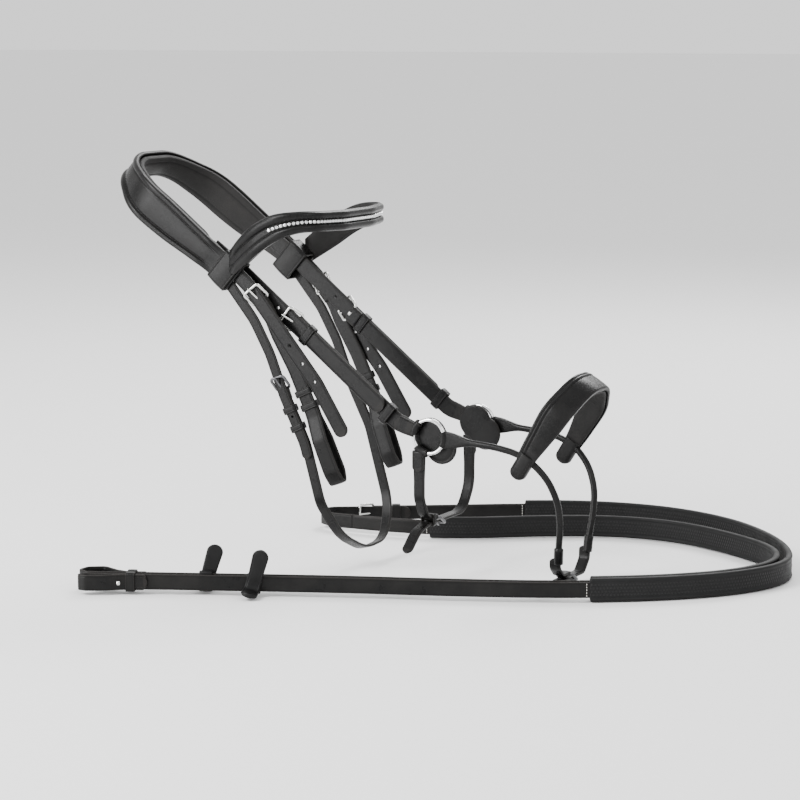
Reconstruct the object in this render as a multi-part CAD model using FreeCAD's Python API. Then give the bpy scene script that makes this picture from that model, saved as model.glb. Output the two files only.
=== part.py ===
import FreeCAD, Part
import math
import os

# Snaffle bridle with a ring-and-rolled-strap noseband, rubber-grip reins and no bit. Millimetres.
# Frame: the origin is on the poll, under the middle of the crown pad. +X runs forward, towards the
# horse's nose, +Y to the horse's left and +Z up. The near side here is the -Y side; the far side is
# its mirror image. "Out" is a distance from the middle plane Y = 0, outwards.

# leather
strap_thick = 2.8
cheek_width = 16.0
noseband_width = 18.0
throat_width = 11.5
jaw_width = 12.0
rein_width = 16.0
rein_thick = 3.5
rolled_radius = 3.3

# layers of the straps on the side of the head: how far out each one's inner face is
noseband_strap_out = 56.8
noseband_point_out = 60.2
pad_out = 63.0
cheek_strap_out = 66.9
point_out = 70.2
crown_out = 73.0
crown_thick = 3.0

# buckles: wire, bar to bar length, and the running gap of a moving part
wire = 1.5
buckle_length = 17.0
tongue_radius = 1.1
running_gap = 0.05
side_gap = 0.4

# noseband rings
ring_x, ring_z = 354.0, -258.0
ring_radius = 17.0
ring_wire = 2.0
ring_out = noseband_strap_out + strap_thick / 2
sleeve_radius = 4.4
sleeve_gap = 0.3

# the crown lies in a plane that leans back: crown_up points up and back, crown_wide forwards
lean = math.radians(48.65)
crown_up = FreeCAD.Vector(-math.sin(lean), 0, math.cos(lean))
crown_wide = FreeCAD.Vector(math.cos(lean), 0, math.sin(lean))

# centre lines of the straps on the near side, as (x, z)
cheek_point_line = [(109, -75), (156, -114.8), (203, -173), (233, -210), (265, -262)]
cheekpiece_line = [(167.5, -129), (177, -141), (187, -163), (206, -196), (226, -240)]
noseband_line = [(107.4, -76.5), (140, -99.8), (304, -233.1)]
noseband_tab_line = [(202.5, -150.6), (319, -245.3), (340, -252.5)]
throat_line = [(100, -84), (133, -114), (161, -149), (179, -182), (196, -226), (219, -273), (231, -317)]

rein_z = -396.0
grip_width = 24.0
grip_thick = 7.0
rein_spacing = 4.3
grip_from, grip_to = 457.0, 1187.0

# the pair of reins lies on the floor in a long U, near rein outside and far rein inside. The first
# run is straight for as long as the strap passes through the rein stops.
rein_front = [(108, -231), (290, -156), (402, -119), (505, -78), (590, -25), (650, 38)]
rein_back = {
    "near": [(679, 106), (654, 177), (605, 247), (538, 308), (452, 342), (362, 334), (282, 294), (213, 248),
             (150, 212)],
    "far": [(666, 108), (641, 172), (578, 222), (503, 260), (425, 261), (352, 224), (291, 178), (225, 151),
            (156, 152)],
}
stop_at = {"near": 125.0, "far": 76.0}
stop_lean = 16.0


def vec(x, y, z):
    return FreeCAD.Vector(x, y, z)


def save(name, shape):
    """Writes one sub-part; several loose pieces of one kind become a compound."""
    if isinstance(shape, list):
        shape = Part.makeCompound(shape)
    shape.exportStep("parts/" + name + ".step")
    print(name, len(shape.Solids), "solids", round(shape.Volume), "mm3", shape.isValid())


def mirrored(shape):
    return shape.mirror(vec(0, 0, 0), vec(0, 1, 0))


def save_pair(name, near):
    save(name + "_near", near)
    save(name + "_far", mirrored(near))


def both(near):
    return [near, mirrored(near)]


# outlines


def rounded(points, radius=None):
    """A line through 2-D points as ("line", start, end, direction) pieces and, between them,
    ("arc", centre, radius, side it turns to, start, angle turned) pieces.

    Each corner gets a tangent arc of the radius, or of the largest one that 0.45 of its shorter
    run allows."""
    pieces, start = [], points[0]
    for before, corner, after in zip(points, points[1:], points[2:]):
        a, b = unit(before, corner), unit(corner, after)
        turn = math.atan2(a[0] * b[1] - a[1] * b[0], a[0] * b[0] + a[1] * b[1])
        room = 0.45 * min(math.dist(before, corner), math.dist(corner, after))
        size = room / math.tan(abs(turn) / 2)
        if radius:
            size = min(radius, size)
        cut = size * math.tan(abs(turn) / 2)
        enter = (corner[0] - a[0] * cut, corner[1] - a[1] * cut)
        leave = (corner[0] + b[0] * cut, corner[1] + b[1] * cut)
        side = math.copysign(1, turn)
        centre = (enter[0] - a[1] * side * size, enter[1] + a[0] * side * size)
        pieces.append(("line", start, enter, a))
        pieces.append(("arc", centre, size, side, enter, turn))
        start = leave
    pieces.append(("line", start, points[-1], unit(points[-2], points[-1])))
    return pieces


def unit(a, b):
    length = math.dist(a, b)
    return ((b[0] - a[0]) / length, (b[1] - a[1]) / length)


def side_edges(pieces, left):
    """The edges of a line moved to its left by a distance, and the points at its two ends."""
    stations = []
    for piece in pieces:
        if piece[0] == "line":
            _, p, q, d = piece
            stations.append([vec(s[0] - d[1] * left, s[1] + d[0] * left, 0) for s in (p, q)])
        else:
            _, c, size, side, enter, turn = piece
            reach = (size - side * left) / size
            x, y = (enter[0] - c[0]) * reach, (enter[1] - c[1]) * reach
            spin = [(math.cos(turn * s), math.sin(turn * s)) for s in (0, 0.5, 1)]
            stations.append([vec(c[0] + x * co - y * si, c[1] + x * si + y * co, 0) for co, si in spin])
    edges = []
    for places in stations:
        if len(places) == 3:
            edges.append(Part.Arc(*places).toShape())
        elif places[0].distanceToPoint(places[1]) > 1e-6:
            edges.append(Part.LineSegment(*places).toShape())
    return edges, stations[0][0], stations[-1][-1]


def ribbon(points, left, right, radius=None, start_round=0, end_round=0):
    """The face between a line moved left and right; its ends are square or bulge by an arc."""
    pieces = rounded(points, radius)
    one, a0, a1 = side_edges(pieces, left)
    two, b0, b1 = side_edges(pieces, -right)

    def cap(p, q, bulge, along):
        if not bulge:
            return Part.LineSegment(p, q).toShape()
        middle = (p + q) * 0.5 + along * bulge
        return Part.Arc(p, middle, q).toShape()

    first, last = pieces[0][3], pieces[-1][3]
    end = cap(a1, b1, end_round, vec(last[0], last[1], 0))
    start = cap(b0, a0, start_round, vec(-first[0], -first[1], 0))
    return Part.Face(Part.Wire(Part.__sortEdges__(one + [end] + two + [start])))


def in_frame(shape, origin, x_axis, y_axis):
    """Moves a shape from the XY plane into the plane of the two axes through the origin."""
    turned = FreeCAD.Rotation(x_axis, y_axis, x_axis.cross(y_axis), "XYZ")
    shape = shape.copy()
    shape.Placement = FreeCAD.Placement(origin, turned).multiply(shape.Placement)
    return shape


def block(x0, x1, y0, y1, z0, z1):
    return Part.makeBox(x1 - x0, y1 - y0, z1 - z0, vec(x0, y0, z0))


def rod(p, q, radius):
    return Part.makeCylinder(radius, (q - p).Length, p, q - p)


# straps on the near side of the head


def side_strap(points, width, out, thick=strap_thick, radius=90.0, start_round=0, end_round=0):
    """A flat strap that lies against the side of the head along (x, z) points."""
    face = ribbon(points, width / 2, width / 2, radius, start_round, end_round)
    face = in_frame(face, vec(0, -out, 0), vec(1, 0, 0), vec(0, 0, 1))
    return face.extrude(vec(0, -thick, 0))


def along(points, distance):
    """The place and direction at a distance along a line of (x, z) points."""
    for p, q in zip(points, points[1:]):
        run = math.dist(p, q)
        if distance <= run or q == points[-1]:
            d = unit(p, q)
            return (p[0] + d[0] * distance, p[1] + d[1] * distance), d
        distance -= run


class Spot:
    """A place on a strap: local X along the strap, local Y across it, local Z out of its face."""

    def __init__(self, origin, x_axis, out_axis):
        self.origin, self.x, self.z = origin, x_axis, out_axis
        self.y = out_axis.cross(x_axis)

    def put(self, shape):
        return in_frame(shape, self.origin, self.x, self.y)

    def point(self, x, y, z):
        return self.origin + self.x * x + self.y * y + self.z * z


def side_spot(points, distance, out, backwards=False):
    (x, z), d = along(points, distance)
    turn = -1 if backwards else 1
    return Spot(vec(x, -out, z), vec(d[0] * turn, 0, d[1] * turn), vec(0, -1, 0))


def frame_wire(length, width, radius, corner):
    """A rounded rectangle of round wire, from its bar at x = 0 to its bar at x = length."""
    h, c = width / 2, corner
    k = c * (1 - math.sqrt(0.5))
    runs = [
        Part.LineSegment(vec(0, -h + c, 0), vec(0, h - c, 0)),
        Part.Arc(vec(0, h - c, 0), vec(k, h - k, 0), vec(c, h, 0)),
        Part.LineSegment(vec(c, h, 0), vec(length - c, h, 0)),
        Part.Arc(vec(length - c, h, 0), vec(length - k, h - k, 0), vec(length, h - c, 0)),
        Part.LineSegment(vec(length, h - c, 0), vec(length, -h + c, 0)),
        Part.Arc(vec(length, -h + c, 0), vec(length - k, -h + k, 0), vec(length - c, -h, 0)),
        Part.LineSegment(vec(length - c, -h, 0), vec(c, -h, 0)),
        Part.Arc(vec(c, -h, 0), vec(k, -h + k, 0), vec(0, -h + c, 0)),
    ]
    path = Part.Wire([r.toShape() for r in runs])
    ring = Part.Wire(Part.makeCircle(radius, vec(0, 0, 0), vec(0, 1, 0)))
    return path.makePipeShell([ring], True, False, 1)


class Buckle:
    """A half buckle on a strap: its back bar is at the spot, its frame leans out over the point.

    The spot's X runs from the back bar to the front bar, against the way the point is pulled. The
    spot is at the middle of the back bar; point_top is how far out of it the point's outer face is."""

    def __init__(self, spot, strap, point_top, length=buckle_length):
        self.spot, self.strap, self.length = spot, strap, length
        rise = point_top + wire + 0.15
        self.tilt = math.asin(rise / length)
        lean_x = spot.x * math.cos(self.tilt) + spot.z * math.sin(self.tilt)
        lean_z = spot.z * math.cos(self.tilt) - spot.x * math.sin(self.tilt)
        self.leaning = Spot(spot.origin, lean_x, lean_z)

    def frame(self):
        return self.leaning.put(frame_wire(self.length, self.strap + 1 + 2 * wire, wire, 3.0))

    def tongue(self):
        eye = Part.makeCylinder(wire + 1.4, 4, vec(0, -2, 0), vec(0, 1, 0))
        rest = wire + tongue_radius + running_gap
        tip = vec(self.length + 1.6, 0, rest + 0.15)
        prong = rod(vec(0, 0, rest - 1.2), tip, tongue_radius).fuse(Part.makeSphere(tongue_radius, tip))
        bar = Part.makeCylinder(wire + running_gap, 20, vec(0, -10, 0), vec(0, 1, 0))
        return self.leaning.put(eye.fuse(prong).cut(bar).removeSplitter())

    def slot(self, low, high):
        """The slot that the tongue needs in the point, between two heights over the back bar."""
        box = block(-0.8, 11.0, -tongue_radius - 0.4, tongue_radius + 0.4, low - 0.8, high + 0.8)
        return self.spot.put(box)

    def chape(self, inner, outer, tail):
        """The end of the strap that holds the bar: an eye, with a slot for the tongue's eye."""
        eye = Part.makeCylinder(outer, self.strap, vec(0, -self.strap / 2, 0), vec(0, 1, 0))
        body = block(-tail, 0, -self.strap / 2, self.strap / 2, inner, outer)
        return self.spot.put(eye.fuse(body))

    def chape_cut(self):
        bar = Part.makeCylinder(wire + running_gap, self.strap + 4, vec(0, -self.strap / 2 - 2, 0), vec(0, 1, 0))
        notch = block(-3.8, 9, -2.4, 2.4, -6, 6)
        return self.spot.put(bar.fuse(notch))


def keeper(spot, inside_width, inside_low, inside_high, length=7.0, wall=2.0):
    """A leather loop round a strap: a box with its inside cut out, from low to high over the spot."""
    w = inside_width / 2
    outer = block(-length / 2, length / 2, -w - wall, w + wall, inside_low - wall, inside_high + wall)
    outer = outer.makeFillet(0.7, [e for e in outer.Edges if abs(e.tangentAt(0).x) > 0.9])
    inner = block(-length, length, -w, w, inside_low, inside_high)
    return spot.put(outer.cut(inner))


# crown


def crown_band(inner, thick):
    """A band over the poll in the leaning plane; inner is how far its inner face is off the pad's."""
    shoulder = [(-63, -176), (-63, -38), (-36, 0), (36, 0), (63, -38), (63, -176)]
    face = ribbon(shoulder, inner + thick, -inner, 45.0)
    face = in_frame(face, crown_wide * -40, vec(0, 1, 0), crown_up)
    sweep = vec(0, 1, 0).cross(crown_up)
    reach = 80 if sweep.dot(crown_wide) > 0 else -80
    return face.extrude(sweep * reach)


def crown_outline(inset, lowest):
    """The side view of the crown: it swells over the poll and is cut away behind the ears."""
    front = [(-176, 26.3), (-150, 25), (-110, 23), (-56, 20), (-30, 17), (0, 12), (22, 11)]
    rear = [(22, -16), (0, -18), (-41, -21), (-82, -17), (-123, -9), (-150, -4.4), (-176, -4)]

    def place(n, w):
        return crown_up * n + crown_wide * w + vec(0, -90, 0)

    front = [place(n, w - inset) for n, w in front if n >= lowest]
    rear = [place(n, w + inset) for n, w in rear if n >= lowest]
    edges = []
    for line in (front, rear):
        curve = Part.BSplineCurve()
        curve.interpolate(line)
        edges.append(curve.toShape())
    edges.append(Part.LineSegment(front[-1], rear[0]).toShape())
    edges.append(Part.LineSegment(rear[-1], front[0]).toShape())
    face = Part.Face(Part.Wire(Part.__sortEdges__(edges)))
    return face.extrude(vec(0, 180, 0))


def make_crown():
    pad_thick = crown_out - pad_out
    leather = crown_band(pad_thick, crown_thick).common(crown_outline(0, -180))
    padding = crown_band(0, pad_thick).common(crown_outline(1.2, -125))
    save("crown_leather", leather)
    save("crown_padding", padding)


# buckled straps on each side

cheek_buckle = Buckle(
    side_spot(cheekpiece_line, 0, cheek_strap_out + 0.3, backwards=True), cheek_width,
    point_out + strap_thick - cheek_strap_out - 0.3,
)
noseband_buckle = Buckle(
    side_spot(noseband_tab_line, 2, noseband_strap_out + 0.2, backwards=True), noseband_width,
    noseband_point_out + strap_thick - noseband_strap_out - 0.2,
)
throat_buckle = Buckle(
    side_spot(throat_line, 166.0, cheek_strap_out + 0.3, backwards=True), throat_width,
    point_out + strap_thick - cheek_strap_out - 0.3, 15.0,
)


def punched(strap, line, first, count, step, out):
    """Round holes along the middle of a point, every step."""
    for n in range(count):
        (x, z), _ = along(line, first + n * step)
        strap = strap.cut(Part.makeCylinder(1.6, 10, vec(x, -out + 4, z), vec(0, -1, 0)))
    return strap


def with_chape(strap, buckle, outer):
    """Joins a strap's body to the eye that holds the buckle's bar."""
    return strap.fuse(buckle.chape(0, outer, 4)).cut(buckle.chape_cut()).removeSplitter()


def make_cheek():
    point = side_strap(cheek_point_line, cheek_width, point_out, end_round=7)
    point = punched(point, cheek_point_line, 136.3, 3, 22.8, point_out)
    low = point_out - cheek_strap_out - 0.3
    save_pair("cheek_point", point.cut(cheek_buckle.slot(low, low + strap_thick)))

    upper = side_strap(cheekpiece_line, cheek_width, cheek_strap_out)
    upper = with_chape(upper, cheek_buckle, 2.9)
    save_pair("cheekpiece", upper.fuse(bit_loop()).removeSplitter())
    save("cheek_buckles", both(cheek_buckle.frame()))
    save_pair("cheek_tongue", cheek_buckle.tongue())
    save("cheek_hook_studs", both(hook_stud()))


def loop_axes():
    """The bottom of the cheekpiece, and the way its bit loop hangs from there."""
    x, z = cheekpiece_line[-1]
    return vec(x, 0, z), vec(0.36, 0, -0.933)


def bit_loop():
    """The strap turned back on itself round where a bit ring would sit, seen along its width."""
    top, hang = loop_axes()
    m = cheek_strap_out + strap_thick / 2
    line = [(m, -4), (m + 0.1, 6), (m + 4, 30), (m + 2, 66), (m - 5, 82), (m - 12.5, 66), (m - 10, 30),
            (m - 3, 6), (m - 2.95, -10)]
    face = ribbon(line, strap_thick / 2, strap_thick / 2, 20.0)
    across = vec(0, -1, 0).cross(hang)
    return in_frame(face, top - across * cheek_width / 2, vec(0, -1, 0), hang).extrude(across * cheek_width)


def hook_stud():
    """A small hook stud on the inside of the cheekpiece, which holds the turned-back end."""
    top, hang = loop_axes()
    inside = top - vec(0, cheek_strap_out - strap_thick - 0.2, 0) + hang * 1.0
    stem = rod(inside, inside + vec(0, 2.0, 0), 1.2)
    return stem.fuse(Part.makeSphere(2.2, inside + vec(0, 2.6, 0)))


def make_noseband():
    point = side_strap(noseband_line, noseband_width, noseband_point_out, end_round=8)
    point = punched(point, noseband_line, 97, 1, 20, noseband_point_out)
    low = noseband_point_out - noseband_strap_out - 0.2
    save_pair("noseband_point", point.cut(noseband_buckle.slot(low, low + strap_thick)))
    strap = side_strap(noseband_tab_line, noseband_width, noseband_strap_out, radius=25.0)
    strap = with_chape(strap, noseband_buckle, 2.9)
    strap = strap.fuse(sleeve(152, 26)).cut(ring_bore()).cut(ring_inside())
    save_pair("noseband_strap", strap.removeSplitter())
    save("noseband_buckles", both(noseband_buckle.frame()))
    save_pair("noseband_tongue", noseband_buckle.tongue())


def make_throat():
    point = side_strap(throat_line[:-1] + [(223, -288)], throat_width, point_out, end_round=5)
    point = punched(point, throat_line, 196, 2, 16, point_out)
    low = point_out - cheek_strap_out - 0.3
    save("throat_point", point.cut(throat_buckle.slot(low, low + strap_thick)))
    save("throat_buckle", throat_buckle.frame())
    save("throat_tongue", throat_buckle.tongue())
    save("throatlash", throatlash())


def throatlash():
    """Down the near side from its buckle, round under the jaw and up the far side to the crown."""
    below = throat_buckle.spot.origin
    near_line = [(below.x, below.z)] + [p for p in throat_line if p[1] < below.z - 5]
    near = side_strap(near_line, throat_width, cheek_strap_out)
    near = with_chape(near, throat_buckle, 2.9)
    far = mirrored(side_strap(throat_line, throat_width, point_out))
    end = vec(throat_line[-1][0], 0, throat_line[-1][1])
    down = unit(throat_line[-2], throat_line[-1])
    down = vec(down[0], 0, down[1])
    a, b = cheek_strap_out + strap_thick / 2, point_out + strap_thick / 2
    line = [(-a, 0), (-a, 18), (-45, 56), (-4, 76), (44, 74), (b, 40), (b, 0)]
    face = ribbon(line, strap_thick / 2, strap_thick / 2, 32.0)
    across = vec(0, 1, 0).cross(down)
    under = in_frame(face, end - across * throat_width / 2, vec(0, 1, 0), down)
    return near.fuse([far, under.extrude(across * throat_width)]).removeSplitter()


def make_keepers():
    """Fixed loops stand still on the headstall; the runners and collars slide along their straps."""
    point_top = point_out + strap_thick - cheek_strap_out
    nose_top = noseband_point_out + strap_thick - noseband_strap_out
    slack = side_gap / 2
    cheek = keeper(side_spot(cheekpiece_line, 119, cheek_strap_out - 2.9), cheek_width, 0, strap_thick + 2.9)
    nose = keeper(side_spot(noseband_tab_line, 19, noseband_strap_out), noseband_width, -0.05, nose_top, 9)
    throat = keeper(side_spot(throat_line, 188, cheek_strap_out), throat_width, -0.05, point_top)
    save("fixed_keepers", both(cheek) + both(nose) + [throat])

    cheek = side_spot(cheekpiece_line, 104, cheek_strap_out)
    save_pair("cheek_runner", keeper(cheek, cheek_width + side_gap, -slack, strap_thick + slack))
    nose = side_spot(noseband_tab_line, 137, noseband_strap_out)
    save_pair("noseband_collar", keeper(nose, noseband_width + side_gap, -slack, nose_top + slack, 9))
    throat = side_spot(throat_line, 208, cheek_strap_out)
    save("throat_runner", keeper(throat, throat_width + side_gap, -slack, point_top + slack))


# browband

brow_line = [(134, 77), (170, 91), (205, 92), (232, 76), (243, 30), (243, -30), (232, -76),
             (205, -92), (170, -91), (134, -77)]
brow_leather = 3.0
brow_pad = 5.0


def brow_band(low, high, inset):
    """The band in plan, cut to its side view: it rises from the loops and levels out in front."""
    face = ribbon(brow_line, high, -low, 60.0)
    band = in_frame(face, vec(0, 0, -150), vec(1, 0, 0), vec(0, 1, 0)).extrude(vec(0, 0, 160))
    top = [(130, -84), (160, -57), (190, -40), (220, -35), (250, -36)]
    bottom = [(250, -57), (220, -57), (195, -67), (168, -85), (143, -102)]
    edges, lines = [], []
    for line, shift in ((top, -inset), (bottom, inset)):
        points = [vec(x, -120, z + shift) for x, z in line]
        lines.append(points)
        curve = Part.BSplineCurve()
        curve.interpolate(points)
        edges.append(curve.toShape())
    edges.append(Part.LineSegment(lines[0][-1], lines[1][0]).toShape())
    edges.append(Part.LineSegment(lines[1][-1], lines[0][0]).toShape())
    side = Part.Face(Part.Wire(Part.__sortEdges__(edges))).extrude(vec(0, 240, 0))
    return band.common(side)


def brow_loop():
    """The end of the browband folded into a sleeve round the crown's end."""
    origin = crown_up * -162 + crown_wide * 11.2
    spot = Spot(origin, crown_up * -1, vec(0, -1, 0))
    low, high = noseband_strap_out + 2.7, crown_out + crown_thick + 0.4
    half = 15.9
    outer = block(-12, 12, -half - 2.6, half + 2.6, low - 2.2, high + 2.6)
    outer = outer.makeFillet(1.5, [e for e in outer.Edges if abs(e.tangentAt(0).x) > 0.9])
    return spot.put(outer.cut(block(-20, 20, -half, half, low, high)))


def make_browband():
    loop = brow_loop()
    solid_loop = crown_up * -162 + crown_wide * 11.2
    spot = Spot(solid_loop, crown_up * -1, vec(0, -1, 0))
    inside = spot.put(block(-13, 13, -18.6, 18.6, 50, 90))
    leather = brow_band(-brow_leather / 2, brow_leather / 2, 0).cut(inside).cut(mirrored(inside))
    inside = spot.put(block(-22, 22, -19.5, 19.5, 50, 90))
    padding = brow_band(-brow_leather / 2 - brow_pad, -brow_leather / 2, 1.0)
    padding = padding.cut(inside).cut(mirrored(inside))
    save("browband_leather", leather)
    save("browband_padding", padding)
    save("browband_loops", both(loop))
    save("crystal_row", crystals())


def crystals():
    """A row of small round stones along the front of the browband."""
    stones = []
    path = Part.Wire(side_edges(rounded(brow_line, 60.0), brow_leather / 2)[0])
    marks = path.discretize(Number=89)
    for before, mark, after in zip(marks[8:77], marks[9:78], marks[10:79]):
        forward = (after - before).normalize()
        out = vec(-forward.y, forward.x, 0)
        z = brow_middle(mark.x)
        stones.append(Part.makeCone(1.9, 1.1, 1.8, vec(mark.x, mark.y, z), out))
    return stones


def brow_middle(x):
    """The height of the inlay at a distance forward: a curve that levels out at the front."""
    share = min(1.0, max(0.0, (243 - x) / 100))
    return -44.5 - 36.0 * share ** 1.9


# rings and what hangs on them


def ring_torus(radius, start=0, sweep=360):
    """A torus, or part of one, round the near ring's axis; angles are in the XZ plane."""
    torus = Part.makeTorus(ring_radius, radius, vec(0, 0, 0), vec(0, 0, 1), 0, 360, sweep)
    torus.rotate(vec(0, 0, 0), vec(0, 0, 1), start)
    return in_frame(torus, vec(ring_x, -ring_out, ring_z), vec(1, 0, 0), vec(0, 0, 1))


def sleeve(angle, half):
    """Leather folded round the ring's wire, over some degrees each side of an angle."""
    return ring_torus(sleeve_radius, angle - half, 2 * half)


def ring_bore():
    return ring_torus(ring_wire + sleeve_gap)


def ring_inside():
    """The room inside the ring, clear of the folded ends."""
    inner = ring_radius - sleeve_radius
    return Part.makeCylinder(inner, 30, vec(ring_x, -ring_out + 15, ring_z), vec(0, -1, 0))


def make_rings():
    save_pair("noseband_ring", ring_torus(ring_wire))
    top = ring_out - sleeve_radius - 0.5
    disc = Part.makeCylinder(17.5, 3, vec(ring_x - 1, -top + 3, ring_z + 1), vec(0, -1, 0))
    disc = disc.fuse(Part.makeCylinder(17, 3, vec(365, -top + 3, -269), vec(0, -1, 0)))
    lug = block(330, 337, -noseband_strap_out, -top + 3, -250, -243)
    save("ring_safes", both(disc.fuse(lug).removeSplitter()))


def tube(points, radius):
    """A round strap through 3-D points, straight runs joined by tangent arcs."""
    start, edges = points[0], []
    for before, corner, after in zip(points, points[1:], points[2:]):
        a, b = (corner - before), (after - corner)
        room = 0.45 * min(a.Length, b.Length)
        a, b = a.normalize(), b.normalize()
        enter, leave = corner - a * room, corner + b * room
        turn = a.getAngle(b)
        size = room / math.tan(turn / 2)
        centre = corner + (b - a).normalize() * (size / math.cos(turn / 2))
        middle = centre + (corner - centre).normalize() * size
        edges.append(Part.LineSegment(start, enter).toShape())
        edges.append(Part.Arc(enter, middle, leave).toShape())
        start = leave
    edges.append(Part.LineSegment(start, points[-1]).toShape())
    path = Part.Wire(edges)
    ring = Part.Wire(Part.makeCircle(radius, points[0], points[1] - points[0]))
    return path.makePipeShell([ring], True, False, 1)


rolled_line = [vec(397, -58.2, -261), vec(427, -57.5, -263.5), vec(449, -56.5, -268), vec(467, -54.5, -277.5),
               vec(482, -51, -294), vec(490.5, -46.5, -316), vec(491.5, -42, -339), vec(488, -38, -366)]


def make_rolled_straps():
    strap = tube(rolled_line, rolled_radius)
    tab = [vec(372.5, -ring_out, -251.5), vec(404, -ring_out, -257.8), vec(404, -ring_out, -264.6),
           vec(372.5, -ring_out, -268.5)]
    wire_edge = Part.makePolygon(tab + [tab[0]])
    tab = Part.Face(wire_edge).extrude(vec(0, -5, 0))
    tab.translate(vec(0, 2.5, 0))
    end = rolled_line[-1]
    ferrule = rod(end, end + vec(-0.5, 1.0, -14), rolled_radius + 1.5)
    ferrule = ferrule.fuse(Part.makeSphere(rolled_radius + 1.5, end))
    whole = strap.fuse([tab, sleeve(-6, 26), ferrule])
    save_pair("rolled_strap", whole.cut(ring_bore()).cut(ring_inside()).removeSplitter())


# nosepiece

nose_origin = vec(462, 0, -271)
nose_up = vec(0.525, 0, 0.851)
nose_wide = vec(0.851, 0, -0.525)
nose_thick = 3.0
nose_pad = 5.5


def nose_band(low, high, inset, end):
    """The band over the nose in its leaning plane, with its side view: widest over the nose."""
    line = [(-57, -6), (-57, 8), (-48, 52), (-20, 81), (20, 81), (48, 52), (57, 8), (57, -6)]
    face = ribbon(line, high, -low, 34.0)
    sweep = vec(0, 1, 0).cross(nose_up)
    turn = 1 if sweep.dot(nose_wide) > 0 else -1
    face = in_frame(face, nose_origin - nose_wide * 30, vec(0, 1, 0), nose_up)
    band = face.extrude(sweep * 60 * turn)
    rear = [(end, -9.5), (20, -12), (45, -15), (70, -15), (95, -14)]
    front = [(95, 13), (70, 14), (45, 14.5), (20, 12), (end, 9.5)]
    edges, lines = [], []
    for line, shift in ((rear, inset), (front, -inset)):
        points = [nose_origin + nose_up * u + nose_wide * (v + shift) + vec(0, -90, 0) for u, v in line]
        curve = Part.BSplineCurve()
        curve.interpolate(points)
        edges.append(curve.toShape())
        lines.append(points)
    edges.append(Part.LineSegment(lines[0][-1], lines[1][0]).toShape())
    edges.append(Part.LineSegment(lines[1][-1], lines[0][0]).toShape())
    side = Part.Face(Part.Wire(Part.__sortEdges__(edges))).extrude(vec(0, 180, 0))
    return band.common(side)


def nose_loop():
    """The folded tab at the end of the nosepiece, with the rolled strap running through it."""
    spot = Spot(nose_origin + vec(0, -50, 0), nose_up * -1, vec(0, -1, 0))
    tab = block(4, 26, -8.6, 8.6, 0, 12.5)
    tab = tab.makeFillet(3.0, [e for e in tab.Edges if abs(e.tangentAt(0).z) > 0.9])
    return spot.put(tab).cut(tube(rolled_line, rolled_radius + 0.02))


def make_nosepiece():
    straps = tube(rolled_line, rolled_radius + 0.02)
    straps = straps.fuse(mirrored(straps))
    save("nosepiece_leather", nose_band(0, nose_thick, 0, -4).cut(straps))
    save("nosepiece_padding", nose_band(-nose_pad, 0, 1.0, -2).cut(straps))
    save("nosepiece_loops", both(nose_loop()))


# straps under the chin and the jaw


def under_strap(line, width, x, radius, rounded_tip=False):
    """A flat strap across the horse through (y, z) points, its width along X."""
    face = ribbon(line, strap_thick / 2, strap_thick / 2, radius)
    face = in_frame(face, vec(x - width / 2, 0, 0), vec(0, 1, 0), vec(0, 0, 1))
    strap = face.extrude(vec(width, 0, 0))
    if rounded_tip:
        (y, z), d = line[-1], unit(line[-2], line[-1])
        tip = Spot(vec(x, y, z), vec(0, d[0], d[1]), vec(0, -d[1], d[0]))
        corners = block(-width / 2, 1, -width, width, -4, 4)
        corners = corners.cut(Part.makeCylinder(width / 2, 8, vec(-width / 2, 0, -4), vec(0, 0, 1)))
        strap = strap.cut(tip.put(corners))
    return strap


def under_buckle(x, y, z, width, point_low):
    """A buckle that hangs under a strap: its frame runs towards +Y and leans down."""
    return Buckle(Spot(vec(x, y, z), vec(0, 1, 0), vec(0, 0, -1)), width, point_low, 15.0)


jaw_x = 343.5
jaw_buckle = under_buckle(jaw_x, -27, -345.0, jaw_width, 6.1)
chin_x = 484.0
chin_buckle = under_buckle(chin_x, -12, -394.0, jaw_width, 6.1)


def make_jaw_strap():
    near = under_strap([(-ring_out, -279), (-ring_out, -322), (-46, -343.6), (-27, -343.6)], jaw_width, jaw_x, 16)
    near = near.fuse(jaw_buckle.chape(-2.8, 2.9, 3)).fuse(jaw_tab()).cut(jaw_buckle.chape_cut())
    save("jaw_strap_near", near.removeSplitter())
    line = [(ring_out, -279), (ring_out, -324), (40, -349.7), (-44, -349.7), (-66, -355), (-88, -372)]
    far = under_strap(line, jaw_width, jaw_x, 30, True).fuse(mirrored(jaw_tab()))
    far = far.cut(jaw_buckle.slot(3.3, 6.1))
    save("jaw_strap_far", far.removeSplitter())
    save("jaw_buckle", jaw_buckle.frame())
    save("jaw_tongue", jaw_buckle.tongue())
    loop = Spot(vec(jaw_x, -37, -345.0), vec(0, 1, 0), vec(0, 0, -1))
    save("jaw_keeper", keeper(loop, jaw_width, -2.8, 6.15, 6.0))


def jaw_tab():
    """The top of the jaw strap, folded round the ring's wire."""
    tab = block(jaw_x - 7, jaw_x + 8, -ring_out - 2.4, -ring_out + 2.4, -284, -272.5)
    return tab.fuse(sleeve(-118, 24)).cut(ring_bore()).cut(ring_inside())


def make_chin_strap():
    end = rolled_line[-1]
    near = under_strap([(-37, end.z - 8), (-37, -384), (-27, -392.6), (-12, -392.6)], jaw_width, chin_x, 7)
    near = near.fuse(chin_buckle.chape(-2.8, 2.9, 3)).cut(chin_buckle.chape_cut())
    save("chin_strap_near", near.removeSplitter())
    line = [(37, end.z - 8), (37, -386), (24, -398.7), (-34, -398.7)]
    far = under_strap(line, jaw_width, chin_x, 9, True)
    save("chin_strap_far", far.cut(chin_buckle.slot(3.3, 6.1)))
    save("chin_buckle", chin_buckle.frame())
    save("chin_tongue", chin_buckle.tongue())


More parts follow.
